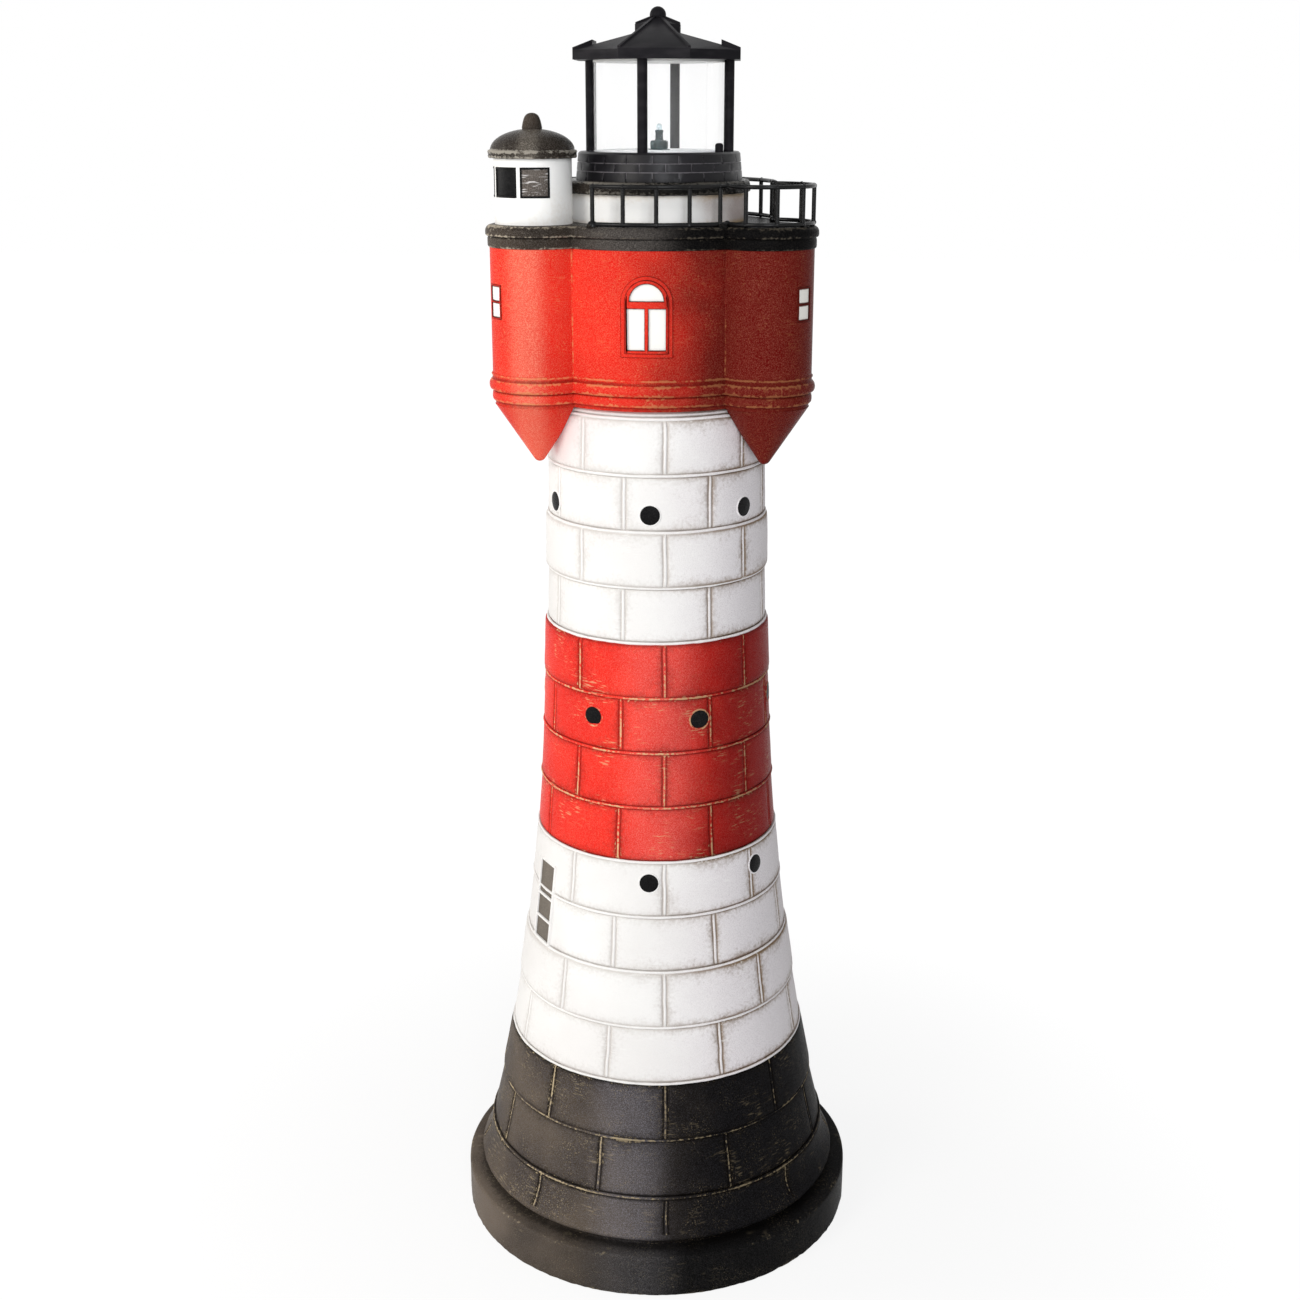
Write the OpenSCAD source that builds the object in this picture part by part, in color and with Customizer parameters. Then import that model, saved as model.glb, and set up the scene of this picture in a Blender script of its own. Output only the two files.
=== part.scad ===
// Garden lighthouse ornament: a hollow cast tower of coursed blocks on a round plinth, an upper
// chamber with three round bays, a railed deck with a small domed turret, and a solar lantern that
// stands on the pedestal and lifts off. The origin is on the ground under the tower's axis, +Z is
// up and the arched window faces -Y. Angles run from -Y towards +X.

/* [Plinth] */
// Radius of the round plinth
plinth_r = 201; // [196:1:206]
// Height of the plinth
plinth_h = 44; // [40:1:46]
// Radius of the roll at the foot of the shaft
foot_r = 186.5; // [184:0.5:188]

/* [Shaft] */
// Radius at the top of the shaft
shaft_r = 102; // [100:1:103]
// Height of the top bed joint above the ground
shaft_top = 848; // [846:1:850]
// Radius gained over the height in a straight taper
shaft_taper = 14; // [12:1:16]
// Radius gained at the foot by the flare
shaft_flare = 58; // [54:1:60]
// Wall thickness of the hollow castings
wall = 7; // [6:0.5:8]

/* [Courses] */
// Height of the top course
course_h = 51.37; // [51:0.01:51.6]
// Height that each course gains on the one above it
course_gain = 0.4; // [0.35:0.05:0.45]
// Width of a joint between two blocks
joint_w = 2.2; // [1.6:0.2:3]
// Depth of a joint
joint_depth = 1.4; // [1:0.2:2]
// How far alternate courses stand proud of their neighbours
course_proud = 1.8; // [0:0.2:2.4]
// Number of blocks in a course
blocks = 8; // [6:1:10]

/* [Windows in the shaft] */
// Radius of a round porthole
porthole_r = 9; // [7:0.5:10]
// Width of the tall window's frame
tall_w = 33; // [30:1:36]
// Height of the tall window's frame
tall_h = 85; // [80:1:88]

/* [Upper chamber] */
// Radius of the main drum
drum_r = 110; // [108:1:112]
// Radius of a round bay
bay_r = 43.4; // [42:0.2:44]
// Distance from the axis to the centre of a bay
bay_c = 117.5; // [116:0.5:119]
// Height of the moulding round the drum's foot
moulding_h = 24.2; // [22:0.2:26]
// Height of the plain wall above the moulding
chamber_h = 115.9; // [112:0.1:118]
// Thickness of the black cornice
cornice_h = 19.8; // [18:0.2:22]
// Radius of the well in the cornice under the lantern
well_r = 65; // [64.5:0.1:65.5]

/* [Deck] */
// Radius of the white pedestal under the lantern
pedestal_r = 80.7; // [78:0.1:81]
// Height of the pedestal
pedestal_h = 25.6; // [24:0.2:28]
// Radius of the black coping on the pedestal
coping_r = 85.2; // [83:0.1:85.2]
// Thickness of the coping
coping_h = 10.8; // [9:0.2:12]

/* [Turret] */
// Radius of the turret's wall
turret_r = 34.5; // [32:0.5:34.5]
// Distance from the tower's axis to the turret's axis
turret_c = 121; // [121:0.1:122.5]
// Height of the turret's wall
turret_h = 56.1; // [52:0.1:58]
// Radius of the dome's rim
dome_r = 39.5; // [37.5:0.1:40]

/* [Railing] */
// Diameter of the wire
wire_d = 3.8; // [3:0.1:4.2]
// Height of the top rail's centre above the deck
rail_h = 33.6; // [30:0.2:36]
// Radius of the rail in front of the drum
rail_r = 108; // [106:0.5:108.5]
// Radius of the rail round a bay
loop_r = 41.5; // [41:0.1:42]

/* [Lantern] */
// Radius at the foot of the brick ring
brick_r = 75.9; // [74:0.1:77]
// Height of the brick ring
brick_h = 24.4; // [23:0.2:26]
// Diameter of a lantern post
post_d = 9; // [8:0.1:9.4]
// Distance from the axis to a post
post_c = 64.2; // [64.1:0.1:65]
// Height of the posts
post_h = 78.3; // [74:0.1:84]
// Apothem of the eight-sided roof
roof_a = 74; // [73:0.1:76]
// Height of the roof's upright edge
fascia_h = 8.5; // [7.5:0.1:9.5]
// Radius of the finial ball
ball_r = 7.3; // [7:0.1:8]

/* [Hidden] */
$fn = 96;

white_paint = [0.90, 0.88, 0.83];
red_paint = [0.72, 0.10, 0.07];
black_paint = [0.10, 0.09, 0.08];
wire_black = [0.04, 0.04, 0.04];
lantern_black = [0.07, 0.07, 0.08];
pane_white = [0.95, 0.94, 0.90];
pane_grey = [0.33, 0.29, 0.25];
steel_grey = [0.62, 0.62, 0.64];

// Heights above the ground
last_line = 14;
shaft_drop = shaft_top - line_z(last_line);
drum_z = shaft_top + 7.5;
chamber_z = drum_z + moulding_h;
cornice_z = chamber_z + chamber_h;
deck_z = cornice_z + cornice_h;
coping_z = deck_z + pedestal_h;
lantern_z = coping_z + coping_h;
ledge_z = lantern_z + brick_h;
floor_h = 0.8;
eave_z = ledge_z + post_h;
slope_z = eave_z + fascia_h;
ball_z = slope_z + 29.7;
dome_z = deck_z + turret_h;

// Bays, rails and joints
bay_angles = [60, -60, 180];
even_joint = 9;
even_joint_drift = 0.1;
odd_joint = 33.1;
odd_joint_drift = 0.25;
wire_r = wire_d / 2;
top_rail_z = deck_z + rail_h;
bottom_rail_z = deck_z + wire_r;
post_pitch = 15.45;
front_posts_from = -26.5;
front_post_count = 5;
bay_post_angles = [-24, 14.4, 51, 89, 133, 170];
rear_posts_from = 88.7;
rear_post_count = 5;
rear_loop_posts = [110, 145, 180, 215, 250];
seam_turn = acos((rail_r * rail_r + bay_c * bay_c - loop_r * loop_r) / (2 * rail_r * bay_c));
loop_turn = 180 - asin(rail_r * sin(seam_turn) / loop_r);
turret_angle = -60.2;
turret_turn = acos((rail_r * rail_r + turret_c * turret_c - turret_r * turret_r) / (2 * rail_r * turret_c));
joint_ball_r = 2.9;

function line_z(k) = shaft_top - course_h * k - course_gain * k * (k - 1) / 2;
function course_top(k) = min(line_z(k), shaft_top + 7.5);
function shaft_radius(z) = let (t = (shaft_top - z) / shaft_drop)
    shaft_r + shaft_taper * t + shaft_flare * pow(t, 3);

// How far each course stands out as a share of the usual most, from the collar to the foot
course_shares = [-0.5, 0.5, 0, 1.2, -0.5, 1, 0.15, 0, -0.5, 0.15, -0.1, 1, 0, 0.65, -0.5, 0.5];
function course_step(k) = course_shares[k + 1] * course_proud;

// Where the first upright joint of a course stands: the casting's joints drift down the shaft
function first_joint(k) = k % 2 == 0 ? even_joint - even_joint_drift * k : odd_joint - odd_joint_drift * k;

// Puts a child that is drawn along +X at an angle from -Y towards +X
module at_angle(a) {
    rotate([0, 0, a - 90])
        children();
}

module ring(r_out, r_in, z, h) {
    translate([0, 0, z])
        difference() {
            cylinder(h = h, r = r_out);
            translate([0, 0, -1])
                cylinder(h = h + 2, r = r_in);
        }
}

// ---- Shaft of coursed blocks ----

function course_outline(k) = let (lo = line_z(k + 1), hi = course_top(k), half = joint_w / 2)
    [
        [shaft_radius(lo) - joint_depth, lo],
        [shaft_radius(lo) - joint_depth, lo + half],
        [shaft_radius(lo) + course_step(k), lo + half],
        [shaft_radius(hi) + course_step(k), hi - half],
        [shaft_radius(hi) - joint_depth, hi - half],
        [shaft_radius(hi) - joint_depth, hi]
    ];

function bore_point(z) = [shaft_radius(z) - wall, z];

// Upright joints are cut a little deeper than bed joints, so the two meet in clean edges
upright_depth = joint_depth + 0.2;

// One upright joint as a thin radial cutter between two bed joints
module upright_joint(k, a) {
    lo = line_z(k + 1);
    hi = course_top(k);
    at_angle(a)
        rotate([90, 0, 0])
            linear_extrude(joint_w, center = true)
                polygon([
                    [shaft_radius(lo) - upright_depth, lo],
                    [shaft_radius(lo) + 10, lo],
                    [shaft_radius(hi) + 10, hi],
                    [shaft_radius(hi) - upright_depth, hi]
                ]);
}

module joints_of_course(k) {
    for (i = [0:blocks - 1])
        upright_joint(k, first_joint(k) + i * 360 / blocks);
}

// Courses from number first at the top to number last at the bottom
module courses(first, last) {
    difference() {
        rotate_extrude()
            polygon(concat(
                [for (k = [last:-1:first]) each course_outline(k)],
                [for (k = [first:last]) bore_point(course_top(k))],
                [bore_point(line_z(last + 1))]
            ));
        for (k = [max(first, 0):last])
            joints_of_course(k);
    }
}

module porthole_places(z, angles) {
    for (a = angles)
        at_angle(a)
            translate([shaft_radius(z), 0, z])
                rotate([0, 90, 0])
                    children();
}

module porthole_pockets(z, angles) {
    porthole_places(z, angles)
        translate([0, 0, -2.5])
            cylinder(h = 10, r = porthole_r + 0.1, $fn = 48);
}

// A black disc with a slightly domed face
module portholes(z, angles) {
    dome = 42;
    porthole_places(z, angles)
        translate([0, 0, -2.5])
            intersection() {
                cylinder(h = 5, r = porthole_r, $fn = 48);
                translate([0, 0, 4.2 - dome])
                    sphere(r = dome);
            }
}

// The portholes stand about a sixth of a turn apart, as they were set in the casting
upper_porthole_z = 761;
upper_porthole_angles = [-61, 1.3, 55.5, 118, 180, 240];
middle_porthole_z = 565.2;
middle_porthole_angles = [-28, 25.9, 84, 150, 210, 270];
lower_porthole_z = 406;
lower_porthole_angles = [1.2, 56.5, 118, 180, 240];

module portholes_upper() {
    color(wire_black)
        portholes(upper_porthole_z, upper_porthole_angles);
}

module portholes_middle() {
    color(wire_black)
        portholes(middle_porthole_z, middle_porthole_angles);
}

module portholes_lower() {
    color(wire_black)
        portholes(lower_porthole_z, lower_porthole_angles);
}

module shaft_white_upper() {
    color(white_paint)
        difference() {
            courses(-1, 3);
            porthole_pockets(upper_porthole_z, upper_porthole_angles);
        }
}

module shaft_red() {
    color(red_paint)
        difference() {
            courses(4, 7);
            porthole_pockets(middle_porthole_z, middle_porthole_angles);
        }
}

// The tall window leans with the wall
tall_angle = -56.5;
tall_z = 358.5;
tall_lean = atan((shaft_radius(tall_z - 40) - shaft_radius(tall_z + 40)) / 80);
tall_bar = 2.5;
tall_depth = 4;

module at_tall_window() {
    at_angle(tall_angle)
        translate([shaft_radius(tall_z), 0, tall_z])
            rotate([0, -tall_lean, 0])
                children();
}

// Foot and height of each pane, from the window's middle
tall_panes = [[-40.2, 20.5], [-17.2, 21.5], [6.8, 33.4]];

module tall_pane_blocks(x, depth) {
    for (p = tall_panes)
        translate([x, -tall_w / 2 + tall_bar, p[0]])
            cube([depth, tall_w - 2 * tall_bar, p[1]]);
}

module tall_window_frame() {
    color(white_paint)
        at_tall_window()
            difference() {
                translate([-3, -tall_w / 2, -tall_h / 2])
                    cube([tall_depth, tall_w, tall_h]);
                tall_pane_blocks(-4, 10);
            }
}

module tall_window_panes() {
    color(pane_grey)
        at_tall_window()
            tall_pane_blocks(-3, 2.4);
}

module shaft_white_lower() {
    color(white_paint)
        difference() {
            courses(8, 11);
            porthole_pockets(lower_porthole_z, lower_porthole_angles);
            at_tall_window()
                translate([-3, -tall_w / 2, -tall_h / 2])
                    cube([14, tall_w, tall_h]);
        }
}

// ---- Foot and plinth ----

roll_r = 4.6;
roll_z = plinth_h + 11.6;
foot_top = line_z(last_line) - joint_w / 2;
foot_low = roll_z + roll_r * sin(50);
foot_wide = foot_r - roll_r + roll_r * cos(50);
foot_slim = shaft_radius(line_z(last_line)) + course_step(last_line);

function foot_radius(u) = foot_slim + (foot_wide - foot_slim) * pow(1 - u, 2.2);
function foot_z(u) = foot_low + (foot_top - foot_low) * u;

foot_steps = 8;
foot_neck = foot_r - 8.5;

function foot_curve(inset) = [for (i = [0:foot_steps])
    [foot_radius(i / foot_steps) - inset, foot_z(i / foot_steps)]];

// The last course spreads in a hollow curve to a rounded roll above the plinth
function foot_outline() = concat(
    [[foot_neck, plinth_h], [foot_neck, plinth_h + 4]],
    [for (a = [-80:20:50]) [foot_r - roll_r + roll_r * cos(a), roll_z + roll_r * sin(a)]],
    foot_curve(0),
    [[shaft_radius(line_z(last_line)) - joint_depth, foot_top]]
);

module foot_joints() {
    line = line_z(last_line);
    for (i = [0:blocks - 1])
        at_angle(first_joint(last_line) + i * 360 / blocks)
            rotate([90, 0, 0])
                linear_extrude(joint_w, center = true)
                    polygon(concat(
                        foot_curve(upright_depth),
                        [[shaft_radius(line) - upright_depth, line]],
                        [[foot_slim + 20, line], [foot_slim + 20, foot_low]]
                    ));
}

module shaft_black() {
    color(black_paint)
        difference() {
            rotate_extrude()
                polygon(concat(
                    foot_outline(),
                    course_outline(13),
                    course_outline(12),
                    [for (k = [12:14]) bore_point(line_z(k))],
                    [[foot_neck - wall, plinth_h]]
                ));
            for (k = [12, 13])
                joints_of_course(k);
            foot_joints();
        }
}

screw_c = 183;
screw_r = 2;
plate_z = 2;
plate_h = 5;
base_screw_count = 6;

module base_screw_places() {
    for (i = [0:base_screw_count - 1])
        at_angle(30 + i * 360 / base_screw_count)
            translate([screw_c, 0, 0])
                children();
}

module plinth() {
    round_r = 3;
    roof_h = 8;
    color(black_paint)
        difference() {
            union() {
                rotate_extrude()
                    polygon(concat(
                        [[plinth_r - wall - 1, 0], [plinth_r - 1.2, 0], [plinth_r, 1.2]],
                        [for (a = [0:22.5:90])
                            [plinth_r - round_r + round_r * cos(a), plinth_h - round_r + round_r * sin(a)]],
                        [[foot_neck - wall, plinth_h], [foot_neck - wall, plinth_h - roof_h]],
                        [[plinth_r - wall - 1, plinth_h - roof_h]]
                    ));
                base_screw_places()
                    translate([0, 0, plate_z + plate_h])
                        cylinder(h = plinth_h - roof_h - plate_z - plate_h + 1, r = 7, $fn = 32);
            }
            base_screw_places()
                cylinder(h = 20, r = screw_r, $fn = 24);
        }
}

module base_plate() {
    color(black_paint)
        difference() {
            translate([0, 0, plate_z])
                cylinder(h = plate_h, r = plinth_r - wall - 1.3);
            base_screw_places()
                cylinder(h = 20, r = screw_r, $fn = 24);
        }
}

module base_screws() {
    color(steel_grey)
        base_screw_places() {
            translate([0, 0, plate_z])
                cylinder(h = 16, r = screw_r, $fn = 24);
            translate([0, 0, 0.5])
                cylinder(h = plate_z - 0.5, r = 4.5, $fn = 24);
        }
}

// ---- Upper chamber ----

module at_bay(a) {
    at_angle(a)
        translate([bay_c, 0, 0])
            rotate([0, 0, 90 - a])
                children();
}

// The drum and its three bays as a solid, grown outwards by grow
module chamber_block(grow, z, h) {
    translate([0, 0, z])
        cylinder(h = h, r = drum_r + grow);
    for (a = bay_angles)
        at_bay(a)
            translate([0, 0, z])
                cylinder(h = h, r = bay_r + grow);
}

// The same block with its top and bottom edges stepped in, which rounds it
module soft_block(grow, z, h, edge) {
    chamber_block(grow - edge / 2, z, h);
    chamber_block(grow, z + edge, h - 2 * edge);
}

fillet_h = 4;
lower_roll_h = 9;

module chamber_moulding() {
    floor_t = 6;
    color(red_paint)
        difference() {
            union() {
                chamber_block(-2.3, drum_z, fillet_h);
                soft_block(0.6, drum_z + fillet_h, lower_roll_h, 1.5);
                soft_block(3.3, drum_z + fillet_h + lower_roll_h, moulding_h - fillet_h - lower_roll_h, 2);
            }
            chamber_block(-wall, drum_z + floor_t, moulding_h);
            translate([0, 0, drum_z - 1])
                cylinder(h = 20, r = 80);
        }
}

// Heights of the arched window above the drum's foot
arch_w = 46;
arch_low = 48.4;
arch_high = 119;
arch_spring = arch_high - arch_w / 2;
front_depth = 2.2;

// An arched prism that reaches out along +X from the axis
module arch_prism(w, low, spring) {
    rotate([90, 0, 90])
        linear_extrude(drum_r + 20) {
            translate([-w / 2, low])
                square([w, spring - low]);
            translate([0, spring])
                circle(d = w);
        }
}

module front_skin(inner, outer, z_low, z_high) {
    ring(drum_r + outer, drum_r + inner, z_low, z_high - z_low);
}

pane_low = 54.6;
pane_high = 91;
pane_w = 16.6;
lunette_low = 97.1;
lunette_r = 15.4;

// The two upright panes and the half-round pane above them
module arched_openings() {
    for (s = [-1, 1])
        translate([0, s * (pane_w / 2 + 1.6) - pane_w / 2, drum_z + pane_low])
            cube([drum_r + 20, pane_w, pane_high - pane_low]);
    intersection() {
        translate([0, 0, drum_z + lunette_low])
            rotate([0, 90, 0])
                cylinder(h = drum_r + 20, r = lunette_r, $fn = 64);
        translate([0, -50, drum_z + lunette_low])
            cube([drum_r + 20, 100, 50]);
    }
}

module arched_outline(grow) {
    translate([0, 0, drum_z])
        arch_prism(arch_w + 2 * grow, arch_low - grow, arch_spring);
}

module arched_window_frame() {
    color(red_paint)
        at_angle(0)
            difference() {
                union() {
                    intersection() {
                        front_skin(-front_depth, 0.9, drum_z, cornice_z);
                        arched_outline(0);
                    }
                    intersection() {
                        front_skin(-front_depth, 1.8, drum_z, cornice_z);
                        arched_outline(-3.6);
                    }
                }
                arched_openings();
            }
}

module arched_window_panes() {
    color(pane_white)
        at_angle(0)
            intersection() {
                front_skin(-front_depth, -0.2, drum_z, cornice_z);
                arched_openings();
            }
}

bay_window_w = 18.4;
bay_window_low = 78;
bay_window_high = 108.5;
bay_window_bar = 1.6;
bay_window_turns = [54.4, -54.4, 180];

// Bay windows face a little forward of their bay's own direction
module at_bay_windows() {
    for (i = [0:2])
        at_bay(bay_angles[i])
            at_angle(bay_window_turns[i])
                children();
}

module bay_window_block(grow) {
    translate([0, -bay_window_w / 2 - grow, drum_z + bay_window_low - grow])
        cube([bay_r + 20, bay_window_w + 2 * grow, bay_window_high - bay_window_low + 2 * grow]);
}

module bay_pane_blocks() {
    pane_h = (bay_window_high - bay_window_low - 3 * bay_window_bar) / 2;
    for (i = [0, 1])
        translate([
            0,
            -bay_window_w / 2 + bay_window_bar,
            drum_z + bay_window_low + bay_window_bar + i * (pane_h + bay_window_bar)
        ])
            cube([bay_r + 20, bay_window_w - 2 * bay_window_bar, pane_h]);
}

module bay_skin(inner, outer) {
    ring(bay_r + outer, bay_r + inner, chamber_z, chamber_h);
}

module bay_window_frames() {
    color(red_paint)
        at_bay_windows()
            difference() {
                intersection() {
                    bay_skin(-front_depth, 0.8);
                    bay_window_block(0);
                }
                bay_pane_blocks();
            }
}

module bay_window_panes() {
    color(pane_white)
        at_bay_windows()
            intersection() {
                bay_skin(-front_depth, -0.2);
                bay_pane_blocks();
            }
}

module chamber_wall() {
    color(red_paint)
        difference() {
            chamber_block(0, chamber_z, chamber_h);
            chamber_block(-wall, chamber_z - 1, chamber_h + 2);
            at_angle(0)
                intersection() {
                    front_skin(-front_depth, 20, drum_z, cornice_z);
                    arched_outline(0);
                }
            at_bay_windows()
                intersection() {
                    bay_skin(-front_depth, 20);
                    bay_window_block(0);
                }
        }
}

corbel_c = 119.8;
corbel_r = 39.6;
corbel_slope = 33.8;
tip_r = 6;

// Cones that carry the bays, cut to the shaft's face, with rounded tips
module corbels() {
    apex_z = drum_z - corbel_r / tan(corbel_slope);
    tip_z = apex_z + tip_r / sin(corbel_slope);
    cut_z = tip_z - tip_r * sin(corbel_slope);
    color(red_paint)
        difference() {
            for (a = bay_angles)
                at_angle(a)
                    translate([corbel_c, 0, 0]) {
                        translate([0, 0, cut_z])
                            cylinder(h = drum_z - cut_z, r1 = tip_r * cos(corbel_slope), r2 = corbel_r);
                        translate([0, 0, tip_z])
                            sphere(r = tip_r);
                    }
            rotate_extrude()
                polygon([
                    [0, line_z(2)],
                    [shaft_radius(line_z(2)) + course_proud, line_z(2)],
                    [shaft_radius(drum_z) + course_proud, drum_z + 1],
                    [0, drum_z + 1]
                ]);
        }
}

// ---- Cornice, pedestal and turret ----

module cornice() {
    lower_h = 9.5;
    color(black_paint)
        difference() {
            union() {
                soft_block(1.6, cornice_z, lower_h, 1);
                soft_block(3.5, cornice_z + lower_h, cornice_h - lower_h, 3);
            }
            translate([0, 0, cornice_z - 1])
                cylinder(h = cornice_h + 2, r = well_r);
        }
}

module lantern_pedestal() {
    color(white_paint)
        ring(pedestal_r, pedestal_r - 12, deck_z, pedestal_h);
}

module pedestal_coping() {
    color(black_paint)
        difference() {
            rotate_extrude()
                polygon([
                    [50, coping_z],
                    [coping_r - 1.5, coping_z],
                    [coping_r, coping_z + 2],
                    [coping_r, coping_z + coping_h - 2],
                    [coping_r - 2, coping_z + coping_h],
                    [50, coping_z + coping_h]
                ]);
            translate([0, 0, coping_z - 1])
                cylinder(h = coping_h + 2, r = well_r);
        }
}

module at_turret() {
    at_angle(turret_angle)
        translate([turret_c, 0, 0])
            rotate([0, 0, 90 - turret_angle])
                children();
}

turret_wall_t = 6;
turret_window_w = 26;
turret_window_low = 23.3;
turret_window_h = 25.8;
turret_frame = 1.6;

// The windows look outwards, and the side towards the lantern is plain
turret_window_angles = [11.4, -38.5, -90, -141.5, 167];

module turret_window_blocks(shrink) {
    for (a = turret_window_angles)
        at_angle(a)
            translate([12, -turret_window_w / 2 + shrink, deck_z + turret_window_low + shrink])
                cube([turret_r, turret_window_w - 2 * shrink, turret_window_h - 2 * shrink]);
}

module turret_wall() {
    color(white_paint)
        at_turret()
            difference() {
                ring(turret_r, turret_r - turret_wall_t, deck_z, turret_h);
                intersection() {
                    ring(turret_r + 5, turret_r - 2, deck_z, turret_h);
                    turret_window_blocks(0);
                }
            }
}

module turret_window_frames() {
    color(wire_black)
        at_turret()
            difference() {
                intersection() {
                    ring(turret_r + 0.4, turret_r - 2, deck_z, turret_h);
                    turret_window_blocks(0);
                }
                turret_window_blocks(turret_frame);
            }
}

module turret_window_panes() {
    color(pane_grey)
        at_turret()
            intersection() {
                ring(turret_r - 0.3, turret_r - 2, deck_z, turret_h);
                turret_window_blocks(turret_frame);
            }
}

rim_h = 6.8;
crown_h = 25;
knob_seat = crown_h - 0.9;

// A shallow dome on a flat rim, with a flat seat for the knob and a spigot that sits in the wall
module turret_dome() {
    cap_r = dome_r - 2;
    steps = 9;
    color(black_paint)
        at_turret()
            translate([0, 0, dome_z])
                rotate_extrude()
                    polygon(concat(
                        [[0, -5], [turret_r - turret_wall_t - 0.2, -5], [turret_r - turret_wall_t - 0.2, 0]],
                        [[dome_r - 1, 0], [dome_r, 1.5], [dome_r, rim_h - 1], [dome_r - 1, rim_h]],
                        [for (i = [0:steps]) let (t = 90 * i / steps)
                            [cap_r * cos(t), min(knob_seat, rim_h + (crown_h - rim_h) * sin(t))]]
                    ));
}

module turret_knob() {
    base_r = 8.6;
    knob_h = 14.2;
    color(black_paint)
        at_turret()
            translate([0, 0, dome_z + knob_seat])
                rotate_extrude()
                    polygon([
                        [0, 0],
                        [base_r, 0],
                        [base_r + 0.1, 2],
                        [base_r - 1, 7.5],
                        [base_r - 2.6, 11],
                        [base_r - 5.2, knob_h - 0.6],
                        [0, knob_h]
                    ]);
}

// ---- Railing ----

// A wire bent to radius r about the child's axis, from one angle to another
module bent_wire(r, from, to, z) {
    translate([0, 0, z])
        rotate([0, 0, from - 90])
            rotate_extrude(angle = to - from)
                translate([r, 0])
                    circle(r = wire_r, $fn = 24);
}

module seam_balls(a, z) {
    for (s = [-1, 1])
        at_angle(a + s * seam_turn)
            translate([rail_r, 0, z])
                sphere(r = joint_ball_r, $fn = 32);
}

// A post between the two rails, let into each of them by a little
module post_at(r, a) {
    let_in = 0.4;
    low = bottom_rail_z + wire_r - let_in;
    at_angle(a)
        translate([r, 0, low])
            cylinder(h = top_rail_z - wire_r + let_in - low, r = wire_r, $fn = 24);
}

module front_rail(z) {
    difference() {
        bent_wire(rail_r, front_posts_from, 60 - seam_turn, z);
        seam_balls(60, z);
    }
}

module bay_rail(z) {
    at_bay(60)
        bent_wire(loop_r, 60 - loop_turn, 60 + loop_turn, z);
    seam_balls(60, z);
}

module rear_rail(z) {
    difference() {
        bent_wire(rail_r, 60 + seam_turn, 180 - seam_turn, z);
        seam_balls(60, z);
    }
    at_bay(180)
        bent_wire(loop_r, 180 - loop_turn, 180 + loop_turn, z);
    seam_balls(180, z);
    difference() {
        bent_wire(rail_r, 180 + seam_turn, 361 + turret_angle - turret_turn, z);
        at_turret()
            translate([0, 0, deck_z - 1])
                cylinder(h = turret_h, r = turret_r);
    }
}

module front_top_rail() {
    color(wire_black)
        front_rail(top_rail_z);
}

// Its left end is set in a lump of filler on the deck
module front_bottom_rail() {
    lump_r = 5;
    color(wire_black)
        intersection() {
            union() {
                front_rail(bottom_rail_z);
                at_angle(front_posts_from)
                    translate([rail_r, 0, deck_z])
                        sphere(r = lump_r, $fn = 32);
            }
            translate([0, 0, deck_z])
                cylinder(h = 20, r = 2 * rail_r);
        }
}

module front_rail_posts() {
    color(wire_black)
        for (i = [0:front_post_count - 1])
            post_at(rail_r, front_posts_from + i * post_pitch);
}

module bay_top_rail() {
    color(wire_black)
        bay_rail(top_rail_z);
}

module bay_bottom_rail() {
    color(wire_black)
        intersection() {
            bay_rail(bottom_rail_z);
            translate([0, 0, deck_z])
                cylinder(h = 20, r = 2 * rail_r);
        }
}

module bay_rail_posts() {
    color(wire_black)
        at_bay(60)
            for (a = bay_post_angles)
                post_at(loop_r, a);
}

module rear_top_rail() {
    color(wire_black)
        rear_rail(top_rail_z);
}

module rear_bottom_rail() {
    color(wire_black)
        intersection() {
            rear_rail(bottom_rail_z);
            translate([0, 0, deck_z])
                cylinder(h = 20, r = 2 * rail_r);
        }
}

module rear_rail_posts() {
    color(wire_black)
        union() {
            for (i = [0:rear_post_count - 1]) {
                post_at(rail_r, rear_posts_from + i * post_pitch);
                post_at(rail_r, 360 - rear_posts_from - i * post_pitch);
            }
            at_bay(180)
                for (a = rear_loop_posts)
                    post_at(loop_r, a);
        }
}

// ---- Lantern ----

post_from = -8.6;
shell_t = 3;
skirt_r = well_r - 3.5;
skirt_t = 1.6;
skirt_drop = 16;
tube_r = 2.2;
glass_r = post_c - post_d / 2 - 0.3;
glass_t = 0.8;
brick_top_r = brick_r - 2.4;

// The lantern stands loose in the well, a little to the right of the tower's axis
lantern_aside = 2.2;

module aside() {
    translate([lantern_aside, 0, 0])
        children();
}

module post_places(from, to) {
    aside()
        for (i = [from:to])
            at_angle(post_from + 90 * i)
                translate([post_c, 0, 0])
                    children();
}

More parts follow.
